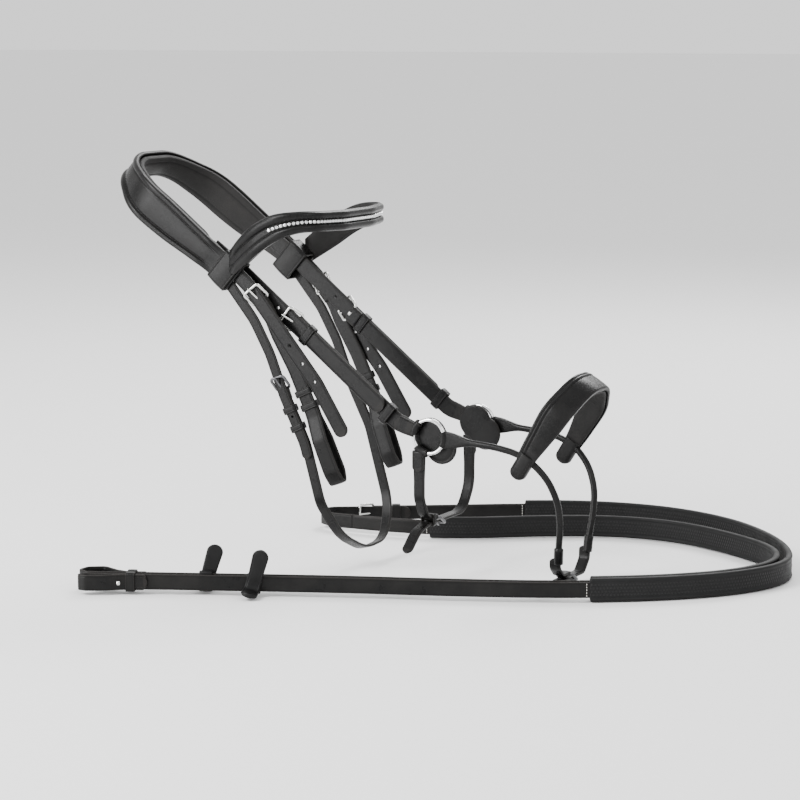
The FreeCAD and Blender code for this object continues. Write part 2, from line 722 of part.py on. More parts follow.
# reins


def beside(points, distance):
    """A route moved sideways to its left, corner by corner."""
    moved = []
    for n, p in enumerate(points):
        a = unit(points[max(n - 1, 0)], points[max(n, 1)])
        b = unit(points[min(n, len(points) - 2)], points[min(n + 1, len(points) - 1)])
        nx, ny = -(a[1] + b[1]), a[0] + b[0]
        size = distance / (1 + a[0] * b[0] + a[1] * b[1])
        moved.append((p[0] + nx * size, p[1] + ny * size))
    return moved


def measured(pieces):
    """The length of a rounded line."""
    return sum(math.dist(p[1], p[2]) if p[0] == "line" else p[2] * abs(p[5]) for p in pieces)


def part_of(pieces, start, end):
    """The stretch of a rounded line between two distances along it."""
    kept, at = [], 0.0
    for piece in pieces:
        run = math.dist(piece[1], piece[2]) if piece[0] == "line" else piece[2] * abs(piece[5])
        lo, hi = max(start - at, 0.0), min(end - at, run)
        if hi - lo > 1e-6:
            if piece[0] == "line":
                _, p, _, d = piece
                ends = [(p[0] + d[0] * s, p[1] + d[1] * s) for s in (lo, hi)]
                kept.append(("line", ends[0], ends[1], d))
            else:
                _, c, size, side, enter, turn = piece
                co, si = math.cos(turn * lo / run), math.sin(turn * lo / run)
                x, y = enter[0] - c[0], enter[1] - c[1]
                enter = (c[0] + x * co - y * si, c[1] + x * si + y * co)
                kept.append(("arc", c, size, side, enter, turn * (hi - lo) / run))
        at += run
    return kept


def on_edge(pieces, width, thick):
    """A strap that stands on its edge along a rounded line, its middle at the reins' height."""
    one, a0, a1 = side_edges(pieces, thick / 2)
    two, b0, b1 = side_edges(pieces, -thick / 2)
    caps = [Part.LineSegment(a1, b1).toShape(), Part.LineSegment(b0, a0).toShape()]
    face = Part.Face(Part.Wire(Part.__sortEdges__(one + two + caps)))
    face.translate(vec(0, 0, rein_z - width / 2))
    return face.extrude(vec(0, 0, width))


def rein_route(side):
    """The corners of one rein: beside its pair in front, on its own line behind."""
    offset = -rein_spacing if side == "near" else rein_spacing
    return beside(rein_front + rein_back[side][:1], offset)[:-1] + rein_back[side]


def make_reins():
    centre = make_rein_centre()
    for side in ("near", "far"):
        pieces = rounded(rein_route(side))
        length = measured(pieces)
        strap = on_edge(pieces, rein_width, rein_thick)
        core = on_edge(part_of(pieces, grip_from, grip_to), rein_width, rein_thick)
        grip = on_edge(part_of(pieces, grip_from, grip_to), grip_width, grip_thick).cut(core)
        print(side, "rein", round(length), "mm, radii", [round(p[2]) for p in pieces if p[0] == "arc"],
              "volume", round(strap.Volume), "section x length", round(rein_width * rein_thick * length))
        if side == "near":
            strap = strap.fuse(centre.chape(-1.45, 2.9, 3)).cut(centre.chape_cut()).removeSplitter()
        save("rein_" + side, strap)
        save("rein_grip_" + side, grip)
        save("rein_stop_" + side, rein_stop(side))
    save("rein_billets", [rein_billet("near"), rein_billet("far")])
    save("rein_hook_studs", [rein_stud("near"), rein_stud("far")])
    fronts = [keeper(rein_spot(side, 2), rein_width, -rein_thick / 2, 4.65, 9.0, 1.8) for side in stop_at]
    at_centre = centre_spot()
    at_centre.origin = at_centre.point(-26, 0, 0)
    save("rein_keepers", fronts + [keeper(at_centre, rein_width, -1.45, 2.9 + 0.3 + strap_thick, 9.0, 1.8)])


def rein_spot(side, distance):
    """A place on the straight first run of a rein: local Z is outwards from the pair."""
    start, following = rein_route(side)[:2]
    d = unit(start, following)
    turn = 1 if side == "near" else -1
    place = vec(start[0] + d[0] * distance, start[1] + d[1] * distance, rein_z)
    return Spot(place, vec(d[0], d[1], 0) * turn, vec(d[1], -d[0], 0) * turn)


def rein_billet(side):
    """The loop that buckles a rein to a bit ring: the strap's end, turned back and hooked."""
    back = [(0, 0), (-42, 0), (-52, 5.5), (-42, 11), (-22, 9), (-5, 3.2), (19, 3.2)]
    if side == "far":
        back = [(0, 0), (-44, 0), (-53, 9), (-47, 23), (-30, 26), (-15, 10), (-4, 3.2), (19, 3.2)]
    spot = rein_spot(side, 0)
    turn = 1 if side == "near" else -1
    face = ribbon([(x * turn, z) for x, z in back], strap_thick / 2, strap_thick / 2, 6.0)
    billet = in_frame(face, spot.origin - spot.y * rein_width / 2, spot.x, spot.z)
    return billet.extrude(spot.y * rein_width)


def rein_stud(side):
    spot = rein_spot(side, -9)
    stem = rod(spot.point(0, 0, 4.6), spot.point(0, 0, 8.4), 1.3)
    return stem.fuse(Part.makeSphere(2.3, spot.point(0, 0, 9.2)))


def rein_stop(side):
    """A soft tab with a bridge that grips the rein and stops a martingale ring."""
    spot = rein_spot(side, stop_at[side])
    w, t = rein_width / 2 + 0.3, rein_thick / 2 + 0.25
    bridge = block(-7, 7, -w - 1.6, w + 2.2, -t - 1.8, t + 2.2)
    line = [(w + 28, 9.5), (w + 12, 6.2), (0, t + 2), (-w + 1.5, t + 6), (-w + 0.8, t + 24)]
    face = ribbon(line, 2.0, 2.0, 30.0)
    tab = in_frame(face, vec(-8.5, 0, 0), vec(0, 1, 0), vec(0, 0, 1)).extrude(vec(17, 0, 0))
    tab.rotate(vec(0, 0, 0), vec(0, 0, 1), -stop_lean if side == "near" else stop_lean)
    hole = block(-30, 30, -w, w, -t, t)
    return spot.put(bridge.fuse(tab).cut(hole).removeSplitter())


def centre_spot():
    """The end of the near rein, where its buckle's bar sits; local Z is towards the far rein."""
    before, end = rein_route("near")[-2:]
    d = unit(before, end)
    return Spot(vec(end[0], end[1], rein_z) + vec(-d[1], d[0], 0) * -0.3, vec(d[0], d[1], 0), vec(-d[1], d[0], 0))


def rein_point():
    """The point on the far rein's end: it turns round to the near rein and through its buckle."""
    spot = centre_spot()
    (x, y), before = rein_route("far")[-1], rein_route("far")[-2]
    start = vec(x, y, rein_z) - spot.origin
    a, b = start.dot(spot.x), start.dot(spot.z)
    heading = unit(before, (x, y))
    da, db = [vec(heading[0], heading[1], 0).dot(axis) for axis in (spot.x, spot.z)]
    lie = 2.9 + 0.3 + strap_thick / 2
    line = [(a, b), (a + 28 * da, b + 28 * db), (61, 17), (45, lie), (-42, lie)]
    face = ribbon(line, strap_thick / 2, strap_thick / 2, 13.0)
    strap = in_frame(face, spot.origin - spot.y * rein_width / 2, spot.x, spot.z)
    return strap.extrude(spot.y * rein_width)


def make_rein_centre():
    lie = 2.9 + 0.3
    buckle = Buckle(centre_spot(), rein_width, lie + strap_thick)
    slot = buckle.slot(lie, lie + strap_thick)
    save("rein_point", rein_point().cut(slot))
    save("rein_buckle", buckle.frame())
    save("rein_tongue", buckle.tongue())
    return buckle


os.makedirs("parts", exist_ok=True)
make_crown()
make_cheek()
make_noseband()
make_throat()
make_keepers()
make_browband()
make_rings()
make_rolled_straps()
make_nosepiece()
make_jaw_strap()
make_chin_strap()
make_reins()
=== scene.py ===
import math

import bmesh
import bpy
import numpy as np
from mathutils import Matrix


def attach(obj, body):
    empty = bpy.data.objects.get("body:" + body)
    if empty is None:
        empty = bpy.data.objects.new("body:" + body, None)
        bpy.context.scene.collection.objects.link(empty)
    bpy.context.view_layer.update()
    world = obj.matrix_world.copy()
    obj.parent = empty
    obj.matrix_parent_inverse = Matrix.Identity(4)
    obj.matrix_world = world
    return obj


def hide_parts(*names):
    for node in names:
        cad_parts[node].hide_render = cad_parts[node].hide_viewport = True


# Snaffle bridle, in metres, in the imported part's own frame: +X forwards, +Z up, near side -Y.

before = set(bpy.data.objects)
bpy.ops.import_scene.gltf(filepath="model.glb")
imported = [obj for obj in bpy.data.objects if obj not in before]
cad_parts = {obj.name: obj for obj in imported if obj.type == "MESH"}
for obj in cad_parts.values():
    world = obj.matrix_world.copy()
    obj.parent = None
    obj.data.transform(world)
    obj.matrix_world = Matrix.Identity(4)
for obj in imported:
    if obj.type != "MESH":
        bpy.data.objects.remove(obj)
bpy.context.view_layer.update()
print("frame loaded")

mm = 0.001
near = np.array([1.0, 1.0, 1.0])
far = np.array([1.0, -1.0, 1.0])

straps = {
    "thick": 2.8, "cheek": 16.0, "noseband": 18.0, "throat": 11.5, "jaw": 12.0, "rein": 16.0, "reinThick": 3.5,
    "nosebandOut": 56.8, "nosebandPointOut": 60.2, "padOut": 63.0, "cheekOut": 66.9, "pointOut": 70.2,
    "crownOut": 73.0, "crownThick": 3.0,
}
pointTop = straps["pointOut"] + straps["thick"] - straps["cheekOut"]
noseTop = straps["nosebandPointOut"] + straps["thick"] - straps["nosebandOut"]
lean = math.radians(48.65)
crownUp = np.array([-math.sin(lean), 0, math.cos(lean)])
crownWide = np.array([math.cos(lean), 0, math.sin(lean)])
ringPlace = {"x": 354.0, "z": -258.0, "out": 58.2, "radius": 17.0, "wire": 2.0}


# camera and floor

def makeCamera(place, aim, lens):
    data = bpy.data.cameras.new("mainCamera")
    data.lens, data.sensor_width = lens, 36.0
    data.clip_start, data.clip_end = 0.1, 50.0
    camera = bpy.data.objects.new("mainCamera", data)
    camera.location = place
    look = np.array(aim) - np.array(place)
    flat = math.hypot(look[0], look[1])
    camera.rotation_euler = (math.atan2(flat, -look[2]), 0, math.atan2(look[1], look[0]) - math.pi / 2)
    bpy.context.scene.collection.objects.link(camera)
    bpy.context.scene.camera = camera


makeCamera((1.551, -2.471, 0.157), (0.292, 0.0, -0.232), 122.3)
print("camera placed")


# node helpers

class Nodes:
    # a short way to add and join nodes in one tree

    def __init__(self, tree):
        self.tree = tree

    def add(self, kind, inputs=None, **settings):
        node = self.tree.nodes.new(kind)
        for key, value in settings.items():
            setattr(node, key, value)
        for key, value in (inputs or {}).items():
            if hasattr(value, "links"):
                self.tree.links.new(value, node.inputs[key])
            else:
                node.inputs[key].default_value = value
        return node

    def link(self, source, target):
        self.tree.links.new(source, target)

    def maths(self, kind, a, b=0.0, c=0.0, clamp=False):
        return self.add("ShaderNodeMath", {0: a, 1: b, 2: c}, operation=kind, use_clamp=clamp).outputs[0]

    def span(self, value, low, high, start=0.0, end=1.0):
        inputs = {"Value": value, "From Min": low, "From Max": high, "To Min": start, "To Max": end}
        return self.add("ShaderNodeMapRange", inputs).outputs["Result"]

    def blend(self, factor, one, two):
        node = self.tree.nodes.new("ShaderNodeMix")
        node.data_type = "RGBA"
        for key, value in ((0, factor), (6, one), (7, two)):
            if hasattr(value, "links"):
                self.tree.links.new(value, node.inputs[key])
            else:
                node.inputs[key].default_value = value
        return node.outputs[2]


def newGroup(name, inputs, outputs):
    group = bpy.data.node_groups.new(name, "ShaderNodeTree")
    for label, kind, value in inputs:
        socket = group.interface.new_socket(label, in_out="INPUT", socket_type="NodeSocket" + kind)
        if value is not None:
            socket.default_value = value
    for label, kind in outputs:
        group.interface.new_socket(label, in_out="OUTPUT", socket_type="NodeSocket" + kind)
    n = Nodes(group)
    return group, n, n.add("NodeGroupInput"), n.add("NodeGroupOutput")


def leatherGrainGroup():
    # pebbled grain: cell edges of two sizes plus fine noise; pull-up is a slow, patchy change of shade
    inputs = [("Vector", "Vector", None), ("Scale", "Float", 900.0), ("Depth", "Float", 1.0)]
    group, n, given, out = newGroup("leatherGrain", inputs, [("Height", "Float"), ("Patch", "Float")])
    place, scale = given.outputs["Vector"], given.outputs["Scale"]
    warp = n.add("ShaderNodeTexNoise", {"Vector": place, "Scale": 260.0, "Detail": 3.0})
    bent = n.add("ShaderNodeVectorMath", {0: warp.outputs["Color"], "Scale": 0.0016}, operation="SCALE")
    moved = n.add("ShaderNodeVectorMath", {0: place, 1: bent.outputs[0]}, operation="ADD").outputs[0]
    cells = n.add("ShaderNodeTexVoronoi", {"Vector": moved, "Scale": scale}, feature="DISTANCE_TO_EDGE")
    finer = n.maths("MULTIPLY", scale, 2.3)
    small = n.add("ShaderNodeTexVoronoi", {"Vector": moved, "Scale": finer}, feature="DISTANCE_TO_EDGE")
    dust = n.add("ShaderNodeTexNoise", {"Vector": place, "Scale": 2600.0, "Detail": 2.0})
    a = n.span(cells.outputs["Distance"], 0.0, 0.22)
    b = n.span(small.outputs["Distance"], 0.0, 0.25, 0.0, 0.4)
    c = n.maths("MULTIPLY", dust.outputs["Fac"], 0.25)
    total = n.maths("ADD", n.maths("ADD", a, b), c)
    n.link(n.maths("MULTIPLY", total, given.outputs["Depth"]), out.inputs["Height"])
    slow = n.add("ShaderNodeTexNoise", {"Vector": place, "Scale": 34.0, "Detail": 4.0, "Roughness": 0.6})
    n.link(n.span(slow.outputs["Fac"], 0.32, 0.7), out.inputs["Patch"])
    return group


def scuffGroup():
    # fine handling scratches: thin lines of noise stretched two ways
    group, n, given, out = newGroup("handlingScuffs", [("Vector", "Vector", None), ("Amount", "Float", 0.5)],
                                    [("Mask", "Float")])
    masks = []
    for turn, stretch in ((0.4, (1600, 90, 400)), (-0.7, (120, 1500, 500))):
        spot = n.add("ShaderNodeMapping", {"Vector": given.outputs["Vector"], "Scale": stretch,
                                           "Rotation": (turn, turn, turn)})
        streak = n.add("ShaderNodeTexNoise", {"Vector": spot.outputs[0], "Scale": 1.0, "Detail": 3.0})
        masks.append(n.span(streak.outputs["Fac"], 0.62, 0.72))
    both = n.maths("MAXIMUM", masks[0], masks[1])
    n.link(n.maths("MULTIPLY", both, given.outputs["Amount"]), out.inputs["Mask"])
    return group


grainGroup = leatherGrainGroup()
scuffs = scuffGroup()


def startMaterial(name):
    material = bpy.data.materials.new(name)
    material.use_nodes = True
    tree = material.node_tree
    tree.nodes.clear()
    n = Nodes(tree)
    out = n.add("ShaderNodeOutputMaterial")
    shader = n.add("ShaderNodeBsdfPrincipled")
    n.link(shader.outputs[0], out.inputs["Surface"])
    coords = n.add("ShaderNodeTexCoord").outputs["Object"]
    return material, n, shader, coords


def useGroup(n, group, **inputs):
    node = n.add("ShaderNodeGroup")
    node.node_tree = group
    for key, value in inputs.items():
        if hasattr(value, "links"):
            n.link(value, node.inputs[key])
        else:
            node.inputs[key].default_value = value
    return node


def leather(name, tint, worn, rough, grain, depth, coat=0.2, edgeShade=None):
    # tanned hide: dark dye that fades in patches and along the cut edge, over pebbled grain; grooves, seams and hole
    # rims are darkened with painted shade
    material, n, shader, coords = startMaterial(name)
    hide = useGroup(n, grainGroup, Vector=coords, Scale=grain)
    wear = useGroup(n, scuffs, Vector=coords, Amount=0.6)
    edge = n.add("ShaderNodeAttribute", attribute_name="edge").outputs["Fac"]
    crease = n.add("ShaderNodeAttribute", attribute_name="crease").outputs["Fac"]
    colour = n.blend(hide.outputs["Patch"], (*tint, 1), (*worn, 1))
    colour = n.blend(n.maths("MULTIPLY", wear.outputs["Mask"], 0.25), colour, (0.022, 0.021, 0.02, 1))
    colour = n.blend(n.maths("MULTIPLY", edge, 0.8), colour, (*(edgeShade or worn), 1))
    # painted shade: the colour goes near black along the crease mask, in grooves, seams, quilting and hole rims
    colour = n.blend(n.maths("MULTIPLY", crease, 0.6), colour, (0.0015, 0.0015, 0.0015, 1))
    n.link(colour, shader.inputs["Base Color"])
    base = n.span(hide.outputs["Patch"], 0.0, 1.0, rough - 0.05, rough + 0.08)
    base = n.maths("ADD", base, n.maths("MULTIPLY", edge, 0.18))
    base = n.maths("ADD", base, n.maths("MULTIPLY", wear.outputs["Mask"], 0.12), clamp=True)
    n.link(base, shader.inputs["Roughness"])
    bump = n.add("ShaderNodeBump", {"Strength": depth, "Distance": 0.0003, "Height": hide.outputs["Height"]})
    n.link(bump.outputs[0], shader.inputs["Normal"])
    shader.inputs["Coat Weight"].default_value = coat
    shader.inputs["Coat Roughness"].default_value = 0.3
    shader.inputs["Specular IOR Level"].default_value = 0.13
    return material


def metal(name, colour, rough, scratch=0.5):
    # plated steel: tiny waves in the polish, scratches and duller patches
    material, n, shader, coords = startMaterial(name)
    wear = useGroup(n, scuffs, Vector=coords, Amount=scratch)
    haze = n.add("ShaderNodeTexNoise", {"Vector": coords, "Scale": 160.0, "Detail": 5.0})
    patch = n.span(haze.outputs["Fac"], 0.35, 0.7)
    dull = tuple(c * 0.72 for c in colour)
    n.link(n.blend(n.maths("MULTIPLY", patch, 0.4), (*colour, 1), (*dull, 1)), shader.inputs["Base Color"])
    level = n.span(patch, 0.0, 1.0, rough, rough + 0.12)
    n.link(n.maths("ADD", level, n.maths("MULTIPLY", wear.outputs["Mask"], 0.25), clamp=True),
           shader.inputs["Roughness"])
    waves = n.maths("ADD", haze.outputs["Fac"], n.maths("MULTIPLY", wear.outputs["Mask"], -0.6))
    bump = n.add("ShaderNodeBump", {"Strength": 0.12, "Distance": 0.0002, "Height": waves})
    n.link(bump.outputs[0], shader.inputs["Normal"])
    shader.inputs["Metallic"].default_value = 1.0
    return material


def rubber(name, tint, rough, pattern):
    # moulded rubber; the grips have rows of small raised studs, from the piece's own UV map in metres
    material, n, shader, coords = startMaterial(name)
    chalk = n.add("ShaderNodeTexNoise", {"Vector": coords, "Scale": 60.0, "Detail": 5.0, "Roughness": 0.65})
    patch = n.span(chalk.outputs["Fac"], 0.4, 0.72)
    fine = n.add("ShaderNodeTexNoise", {"Vector": coords, "Scale": 1800.0, "Detail": 3.0})
    height = n.maths("MULTIPLY", fine.outputs["Fac"], 0.15)
    colour = n.blend(n.maths("MULTIPLY", patch, 0.5), (*tint, 1), (*(t * 1.9 for t in tint), 1))
    if pattern:
        uv = n.add("ShaderNodeUVMap", uv_map="UVMap").outputs[0]
        parts = n.add("ShaderNodeSeparateXYZ", {0: uv})
        cells = []
        row = n.maths("FLOOR", n.maths("DIVIDE", parts.outputs[1], pattern))
        shift = n.maths("MULTIPLY", row, 0.5)
        for socket, offset in ((parts.outputs[0], shift), (parts.outputs[1], 0.0)):
            place = n.maths("ADD", n.maths("DIVIDE", socket, pattern), offset)
            cells.append(n.maths("SUBTRACT", n.maths("FRACT", place), 0.5))
        away = n.maths("SQRT", n.maths("ADD", n.maths("POWER", cells[0], 2), n.maths("POWER", cells[1], 2)))
        stud = n.span(away, 0.2, 0.42, 1.0, 0.0)
        face = n.add("ShaderNodeAttribute", attribute_name="face").outputs["Fac"]
        stud = n.maths("MULTIPLY", stud, face)
        height = n.maths("ADD", height, stud)
        # painted highlight: the raised studs are painted lighter than the rubber between them
        colour = n.blend(n.maths("MULTIPLY", stud, 0.45), colour, (*(t * 2.6 for t in tint), 1))
    n.link(colour, shader.inputs["Base Color"])
    n.link(n.span(patch, 0.0, 1.0, rough, rough + 0.14), shader.inputs["Roughness"])
    bump = n.add("ShaderNodeBump", {"Strength": 0.7, "Distance": 0.0006, "Height": height})
    n.link(bump.outputs[0], shader.inputs["Normal"])
    shader.inputs["Specular IOR Level"].default_value = 0.14
    return material


def stone(name):
    # a cut clear stone over foil: bright, with painted reflections, random cells of lighter and darker colour
    # standing in for facets catching the light
    material, n, shader, coords = startMaterial(name)
    cut = n.add("ShaderNodeTexVoronoi", {"Vector": coords, "Scale": 900.0})
    shade = n.span(cut.outputs["Distance"], 0.0, 0.8, 0.25, 1.0)
    n.link(n.blend(shade, (0.35, 0.37, 0.42, 1), (1, 1, 1, 1)), shader.inputs["Base Color"])
    n.link(n.span(shade, 0.0, 1.0, 0.04, 0.16), shader.inputs["Roughness"])
    shader.inputs["Metallic"].default_value = 0.85
    shader.inputs["Coat Weight"].default_value = 1.0
    return material


def floorPaper():
    material, n, shader, coords = startMaterial("paleFloor")
    tooth = n.add("ShaderNodeTexNoise", {"Vector": coords, "Scale": 300.0, "Detail": 4.0})
    n.link(n.blend(tooth.outputs["Fac"], (0.86, 0.86, 0.86, 1), (0.9, 0.9, 0.9, 1)), shader.inputs["Base Color"])
    shader.inputs["Roughness"].default_value = 0.85
    return material


ink = (0.003, 0.003, 0.0031)
finishes = {
    "strap": leather("strapLeather", ink, (0.0075, 0.0072, 0.007), 0.27, 950.0, 0.16, 0.06,
                     (0.014, 0.013, 0.012)),
    "lining": leather("liningLeather", (0.008, 0.0078, 0.0076), (0.015, 0.0142, 0.0138), 0.5, 700.0, 0.5, 0.0),
    "rolled": leather("rolledLeather", ink, (0.0075, 0.0072, 0.007), 0.26, 1100.0, 0.15, 0.06),
    "rein": leather("reinLeather", ink, (0.009, 0.0085, 0.008), 0.31, 900.0, 0.2, 0.04, (0.016, 0.014, 0.013)),
    "bright": metal("nickelPlate", (0.72, 0.72, 0.70), 0.16),
    "dark": metal("darkPlate", (0.13, 0.13, 0.135), 0.28),
    "chrome": metal("polishedRing", (0.86, 0.86, 0.86), 0.08, 0.35),
    "grip": rubber("dimpledRubber", (0.0075, 0.0075, 0.0076), 0.5, 0.0034),
    "stopRubber": rubber("smoothRubber", (0.0055, 0.0055, 0.0056), 0.36, None),
    "stones": stone("cutStones"),
    "thread": leather("waxedThread", (0.01, 0.0095, 0.009), (0.022, 0.02, 0.019), 0.5, 3000.0, 0.3, 0.0),
    "paleThread": leather("paleThread", (0.5, 0.49, 0.46), (0.6, 0.58, 0.55), 0.6, 3000.0, 0.3, 0.0),
}
print("materials made")


# lines, sections and shapes; lengths in this part are in millimetres until a piece is made

def unitRows(rows):
    return rows / np.linalg.norm(rows, axis=-1, keepdims=True)


class Line:
    # straight runs joined by arcs: an arc touches both runs, so its centre is its radius off each of them

    def __init__(self, corners, radius=None, step=1.2):
        corners = [np.array(c, float) for c in corners]
        points = [corners[0][None]]
        for before, corner, after in zip(corners, corners[1:], corners[2:]):
            a, b = corner - before, after - corner
            reach = 0.45 * min(np.linalg.norm(a), np.linalg.norm(b))
            a, b = unitRows(a), unitRows(b)
            turn = math.acos(max(-1.0, min(1.0, float(a @ b))))
            if turn < 1e-4:
                continue
            cut = min(reach, radius * math.tan(turn / 2)) if radius else reach
            size = cut / math.tan(turn / 2)
            inward = unitRows(b - a * (a @ b))
            angles = np.linspace(0, turn, max(4, int(size * turn / step) + 2))[:, None]
            bend = a * np.sin(angles) - inward * np.cos(angles)
            points.append(corner - a * cut + inward * size + size * bend)
        points.append(corners[-1][None])
        self.points = np.concatenate(points)
        self.marks = np.concatenate([[0], np.cumsum(np.linalg.norm(np.diff(self.points, axis=0), axis=1))])
        self.length = self.marks[-1]

    def place(self, s):
        return np.stack([np.interp(s, self.marks, self.points[:, k]) for k in range(3)], axis=-1)

    def heading(self, s):
        low, high = np.clip(s - 0.8, 0, self.length), np.clip(s + 0.8, 0, self.length)
        return unitRows(self.place(high) - self.place(low))


def stations(start, end, step=1.5, headTip=0.0, tailTip=0.0):
    # even steps; a rounded tip gets stations that crowd towards its end, with a half-circle of widths
    swing = np.linspace(0, math.pi / 2, 12)
    low, high = start + headTip, end - tailTip
    middle = np.linspace(low, high, max(2, int((high - low) / step) + 1))
    places, widths = [middle], [np.ones(len(middle))]
    if headTip:
        places.insert(0, low - headTip * np.sin(swing[:0:-1]))
        widths.insert(0, np.maximum(np.cos(swing[:0:-1]), 0.04))
    if tailTip:
        places.append(high + tailTip * np.sin(swing[1:]))
        widths.append(np.maximum(np.cos(swing[1:]), 0.04))
    return np.concatenate(places), np.concatenate(widths)


def smoothThrough(xs, ys, x):
    # a cubic between each two points, with slopes taken from the neighbours
    xs, ys = np.array(xs, float), np.array(ys, float)
    slopes = np.gradient(ys, xs)
    x = np.clip(x, xs[0], xs[-1])
    k = np.clip(np.searchsorted(xs, x) - 1, 0, len(xs) - 2)
    h = xs[k + 1] - xs[k]
    t = (x - xs[k]) / h
    return ((2 * t**3 - 3 * t**2 + 1) * ys[k] + (t**3 - 2 * t**2 + t) * h * slopes[k]
            + (3 * t**2 - 2 * t**3) * ys[k + 1] + (t**3 - t**2) * h * slopes[k + 1])


def bump(x, middle, half):
    # a smooth hill: 1 in its middle, 0 at half its width and beyond
    t = np.clip(np.abs(x - middle) / half, 0, 1)
    return (1 - t**2) ** 2


def roll(x, middle, half):
    # a round roll: the upper half of an ellipse
    return np.sqrt(np.clip(1 - ((x - middle) / half) ** 2, 0, 1))


def ease(x, low, high):
    t = np.clip((x - low) / (high - low), 0, 1)
    return t * t * (3 - 2 * t)


def closeEnds(s, reach, least):
    # 1 along the run, falling along a quarter circle to the least value at each end
    away = np.clip(np.minimum(s - s[0], s[-1] - s) / reach, 0, 1)
    return np.maximum(np.sqrt(1 - (1 - away) ** 2), least)


def boxyRound(count, wide, tall):
    # a superellipse: powers below 1 of the cosine and the sine push a circle out towards a box
    angles = np.linspace(0, 2 * math.pi, count, endpoint=False)
    return [np.sign(v) * np.abs(v) ** p for v, p in ((np.cos(angles), wide), (np.sin(angles), tall))]


def between(at, s, *tables):
    # rows of each table at new places along s, by straight lines between its rows
    return [np.stack([np.interp(at, s, rows[:, k]) for k in range(3)], axis=1) for rows in tables]


class Shape:
    # points and faces, with a UV in metres and the masks that the finishes read

    def __init__(self, points, faces, uv, edge=None, crease=None, face=None):
        self.points, self.faces, self.uv = points, faces, uv
        self.edge, self.crease, self.face = [
            np.zeros(len(points)) if m is None else m.reshape(-1) for m in (edge, crease, face)
        ]

    def farSide(self):
        return Shape(self.points * far, self.faces, self.uv, self.edge, self.crease, self.face)


def gridShape(grid, closedLong=False, closedRound=True, along=None, around=None, masks=()):
    # quads between neighbouring points; an open end of a tube is closed by one face
    n, m = grid.shape[:2]
    i = np.arange(n if closedLong else n - 1)[:, None]
    j = np.arange(m if closedRound else m - 1)[None]
    a, b, c, d = i * m + j, i * m + (j + 1) % m, (i + 1) % n * m + (j + 1) % m, (i + 1) % n * m + j
    faces = np.stack([a, b, c, d], axis=-1).reshape(-1, 4).tolist()
    if closedRound and not closedLong:
        faces += [list(range(m)), list(range(n * m - m, n * m))]
    along = np.zeros(n) if along is None else along
    around = np.zeros(m) if around is None else around
    uv = np.stack(np.broadcast_arrays(along[:, None], around[None]), axis=-1).reshape(-1, 2) * mm
    masks = [np.broadcast_to(mask, (n, m)).copy() for mask in masks]
    return Shape(grid.reshape(-1, 3), faces, uv, *masks)


def sweep(centres, across, out, section, closedLong=False, along=None, masks=()):
    # each section point (x, y) goes to centre + across x + out y
    section = np.broadcast_to(section, (len(centres),) + section.shape[-2:])
    across, out = [np.broadcast_to(v, centres.shape)[:, None] for v in (across, out)]
    grid = centres[:, None] + across * section[..., 0:1] + out * section[..., 1:2]
    wander = np.linalg.norm(np.diff(section[0], axis=0), axis=1)
    around = np.concatenate([[0], np.cumsum(wander)])
    return gridShape(grid, closedLong, True, along, around, masks)


def barSection(width, thick, creases=(), sink=0.25, soft=0.42, swell=0.0, spread=0.45):
    # a flat bar with rounded edges: its outer face sinks at each crease and swells in the middle
    half, r = width / 2, thick * soft
    flat = half - r
    xs = [np.linspace(-flat, flat, 13)] + [c + np.linspace(-2.2, 2.2, 9) * spread for c in creases]
    xs = np.unique(np.clip(np.concatenate(xs), -flat, flat).round(4))
    dip = sum((np.exp(-(((xs - c) / spread) ** 2)) for c in creases), np.zeros(len(xs)))
    top = np.stack([xs, thick / 2 - sink * dip + swell * bump(xs, 0, half)], axis=1)[::-1]
    swing = np.linspace(math.pi / 2, math.pi, 5)[1:]
    corner = np.stack([np.cos(swing), np.sin(swing)], axis=1) * r
    leftTop = corner + (-flat, thick / 2 - r)
    leftLow = corner[::-1] * (1, -1) + (-flat, r - thick / 2)
    low = np.stack([np.linspace(-flat, flat, 9), np.full(9, -thick / 2)], axis=1)[:-1]
    right = np.concatenate([leftTop, leftLow])[::-1] * (-1, 1)
    section = np.concatenate([top, leftTop, leftLow, low, right])
    edge = np.clip((np.abs(section[:, 0]) - flat) / r * 1.6, 0, 1)
    # the crease mask follows the grooves, where the leather shader paints shade
    crease = np.zeros(len(section))
    crease[:len(top)] = dip[::-1]
    return section, edge, crease


def tidyRound(section, edge, crease):
    # drops neighbours that fall on each other
    gap = np.linalg.norm(section - np.roll(section, 1, axis=0), axis=1)
    keep = gap > 1e-3
    return section[keep], edge[keep], crease[keep]


def strapShape(line, width, thick, out=None, across=None, start=0.0, end=None, tips=(0.0, 0.0), creases=2.0,
               sink=0.25, swell=0.0, taper=None, shift=0.0, step=1.5):
    # a flat strap along a line: out is the way its good face looks, or across the way its width runs
    end = line.length if end is None else end
    s, widths = stations(start, end, step, *tips)
    if taper is not None:
        widths = widths * np.interp(s, *taper)
    centres, heading = line.place(s), line.heading(s)
    if across is None:
        across = unitRows(np.cross(out, heading))
    across = np.broadcast_to(across, heading.shape)
    normal = unitRows(np.cross(heading, across))
    if out is not None:
        normal = normal * np.sign(np.sum(normal * out, axis=1, keepdims=True))
    sides = () if not creases else (-(width / 2 - creases), width / 2 - creases)
    section, edge, crease = tidyRound(*barSection(width, thick, sides, sink, swell=swell))
    section = np.stack([section[None, :, 0] * widths[:, None],
                        np.broadcast_to(section[:, 1] + shift, (len(s), len(section)))], axis=-1)
    ends = np.maximum(edge[None], (widths < 0.97)[:, None] * 0.6)
    return sweep(centres, across, normal, section, along=s, masks=(ends, crease))


